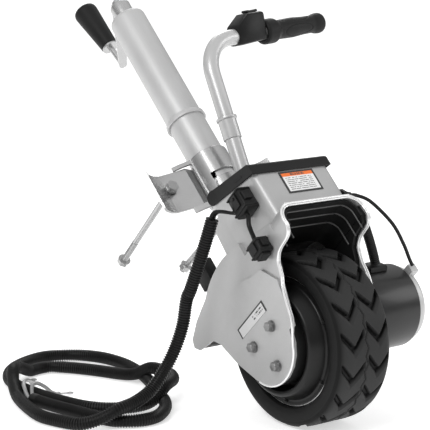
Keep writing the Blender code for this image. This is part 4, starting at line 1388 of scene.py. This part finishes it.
@dataclass
class Connectors:
    """Two plug-and-socket pairs on the left side and the lead between them."""

    details: tuple = (
        ("upper_latch", (-101.8, -121, 170), (-98.8, -107, 191)),
        ("upper_rib_low", (-100.4, -130.8, 163), (-75.5, -97.2, 166.5)),
        ("upper_rib_high", (-100.4, -130.8, 192), (-75.5, -97.2, 194.5)),
        ("upper_tab", (-96, -134.5, 173), (-82, -129.5, 187)),
        ("upper_bridge", (-103.6, -116.5, 184), (-101.4, -111.5, 188)),
        ("lower_latch", (-107.8, -111, 94), (-104.8, -97, 110)),
        ("lower_rib_low", (-106.2, -118.9, 92), (-82.5, -89.1, 94.6)),
        ("lower_rib_high", (-106.2, -118.9, 109), (-82.5, -89.1, 111.6)),
        ("lower_mouth", (-102, -113, 85.5), (-86, -95, 90.5)),
        ("lower_tab", (-100, -122, 97), (-88, -117.5, 108)))
    lead: tuple = ((-92, -115, 157.6), (-93, -115.5, 151), (-98, -113, 138), (-95, -105, 116.6))

    def build(self) -> None:
        """Add the housings with their latches and the lead."""
        edged("connector_upper", PLASTIC, 1.6)
        edged("connector_lower", PLASTIC, 1.6)
        for name, low, high in self.details:
            bevelled(add(box(low, high, MAST, name), PLASTIC, "fork"), 0.7)
        add(sweep("link_lead", catmull(self.lead, 1.5), 3.5, MAST), PLASTIC, "fork", "connector_lead")


# ---------------------------------------------------------------- studio

@dataclass
class Studio:
    """Camera, floor, sky and lights."""

    eye: tuple = (-1.7147, -2.2014, 0.4503)
    back: tuple = (-0.6030, -0.7774, 0.1788)
    right: tuple = (0.7902, -0.6129, 0.0)
    lens: float = 150.7
    floor_reach: float = 60.0
    floor_gap: float = 0.0004
    sky: tuple = ((0.05, 0.24), (0.75, 0.85))           # height and grey of each stop
    lamps: tuple = (("key", (-2.4, -1.0, 2.2), 1.3, 40), ("fill", (2.2, -1.6, 1.0), 1.2, 14),
                    ("rim", (1.4, 2.2, 1.8), 1.2, 18))

    def camera(self) -> None:
        """Place the camera by its own axes."""
        data = bpy.data.cameras.new("camera")
        data.lens, data.sensor_width = self.lens, 36.0
        data.clip_end = 200.0
        made = bpy.data.objects.new("camera", data)
        back, right = Vector(self.back).normalized(), Vector(self.right).normalized()
        turn = Matrix((right, back.cross(right), back)).transposed()
        made.matrix_world = Matrix.Translation(self.eye) @ turn.to_4x4()
        bpy.context.scene.collection.objects.link(made)
        bpy.context.scene.camera = made

    def floor(self) -> None:
        """Lay the pale floor just under the wheel."""
        level, reach = FLOOR.origin[2] * MM - self.floor_gap, self.floor_reach
        points = [(x * reach, y * reach, level) for x, y in ((-1, -1), (1, -1), (1, 1), (-1, 1))]
        mesh = bpy.data.meshes.new("floor")
        mesh.from_pydata(points, [], [(0, 1, 2, 3)])
        made = bpy.data.objects.new("floor", mesh)
        shader = Shader("floor")
        shader.set(Base_Color=grey(0.80), Roughness=0.9, Emission_Color=grey(1.0), Emission_Strength=0.55)
        mesh.materials.append(shader.material)
        bpy.context.scene.collection.objects.link(made)

    def surround(self) -> None:
        """Light the scene from a sky that grows paler with height."""
        world = bpy.data.worlds.new("studio")
        world.use_nodes = True
        tree = world.node_tree
        split = tree.nodes.new("ShaderNodeSeparateXYZ")
        ramp = tree.nodes.new("ShaderNodeValToRGB")
        tree.links.new(tree.nodes.new("ShaderNodeTexCoord").outputs["Generated"], split.inputs[0])
        tree.links.new(split.outputs[2], ramp.inputs[0])
        tree.links.new(ramp.outputs[0], tree.nodes["Background"].inputs[0])
        for stop, (height, level) in zip(ramp.color_ramp.elements, self.sky):
            stop.position, stop.color = height, grey(level)
        bpy.context.scene.world = world

    def lamp(self, name: str, place: tuple, size: float, power: float) -> None:
        """Square soft light aimed at the object's middle.

        Args:
            name: the light's name.
            place: where it stands, in metres.
            size: its side in metres.
            power: its power in watts.
        """
        data = bpy.data.lights.new(name, "AREA")
        data.size, data.energy = size, power
        made = bpy.data.objects.new(name, data)
        made.location = place
        made.rotation_euler = Vector(place).to_track_quat("Z", "Y").to_euler()
        bpy.context.scene.collection.objects.link(made)

    def build(self) -> None:
        """Set up the shot."""
        self.camera()
        self.floor()
        self.surround()
        bpy.context.scene.view_settings.view_transform = "Standard"
        for lamp in self.lamps:
            self.lamp(*lamp)


def main() -> None:
    """Build the studio and every sub-assembly, the cords first."""
    logging.basicConfig(level=logging.INFO, format="%(message)s")
    Studio().build()
    for assembly in (SupplyCord(), Wheel(), Fork(), Mast(), Handlebar(), Motor(), Connectors()):
        assembly.build()


if __name__ == "__main__":
    main()
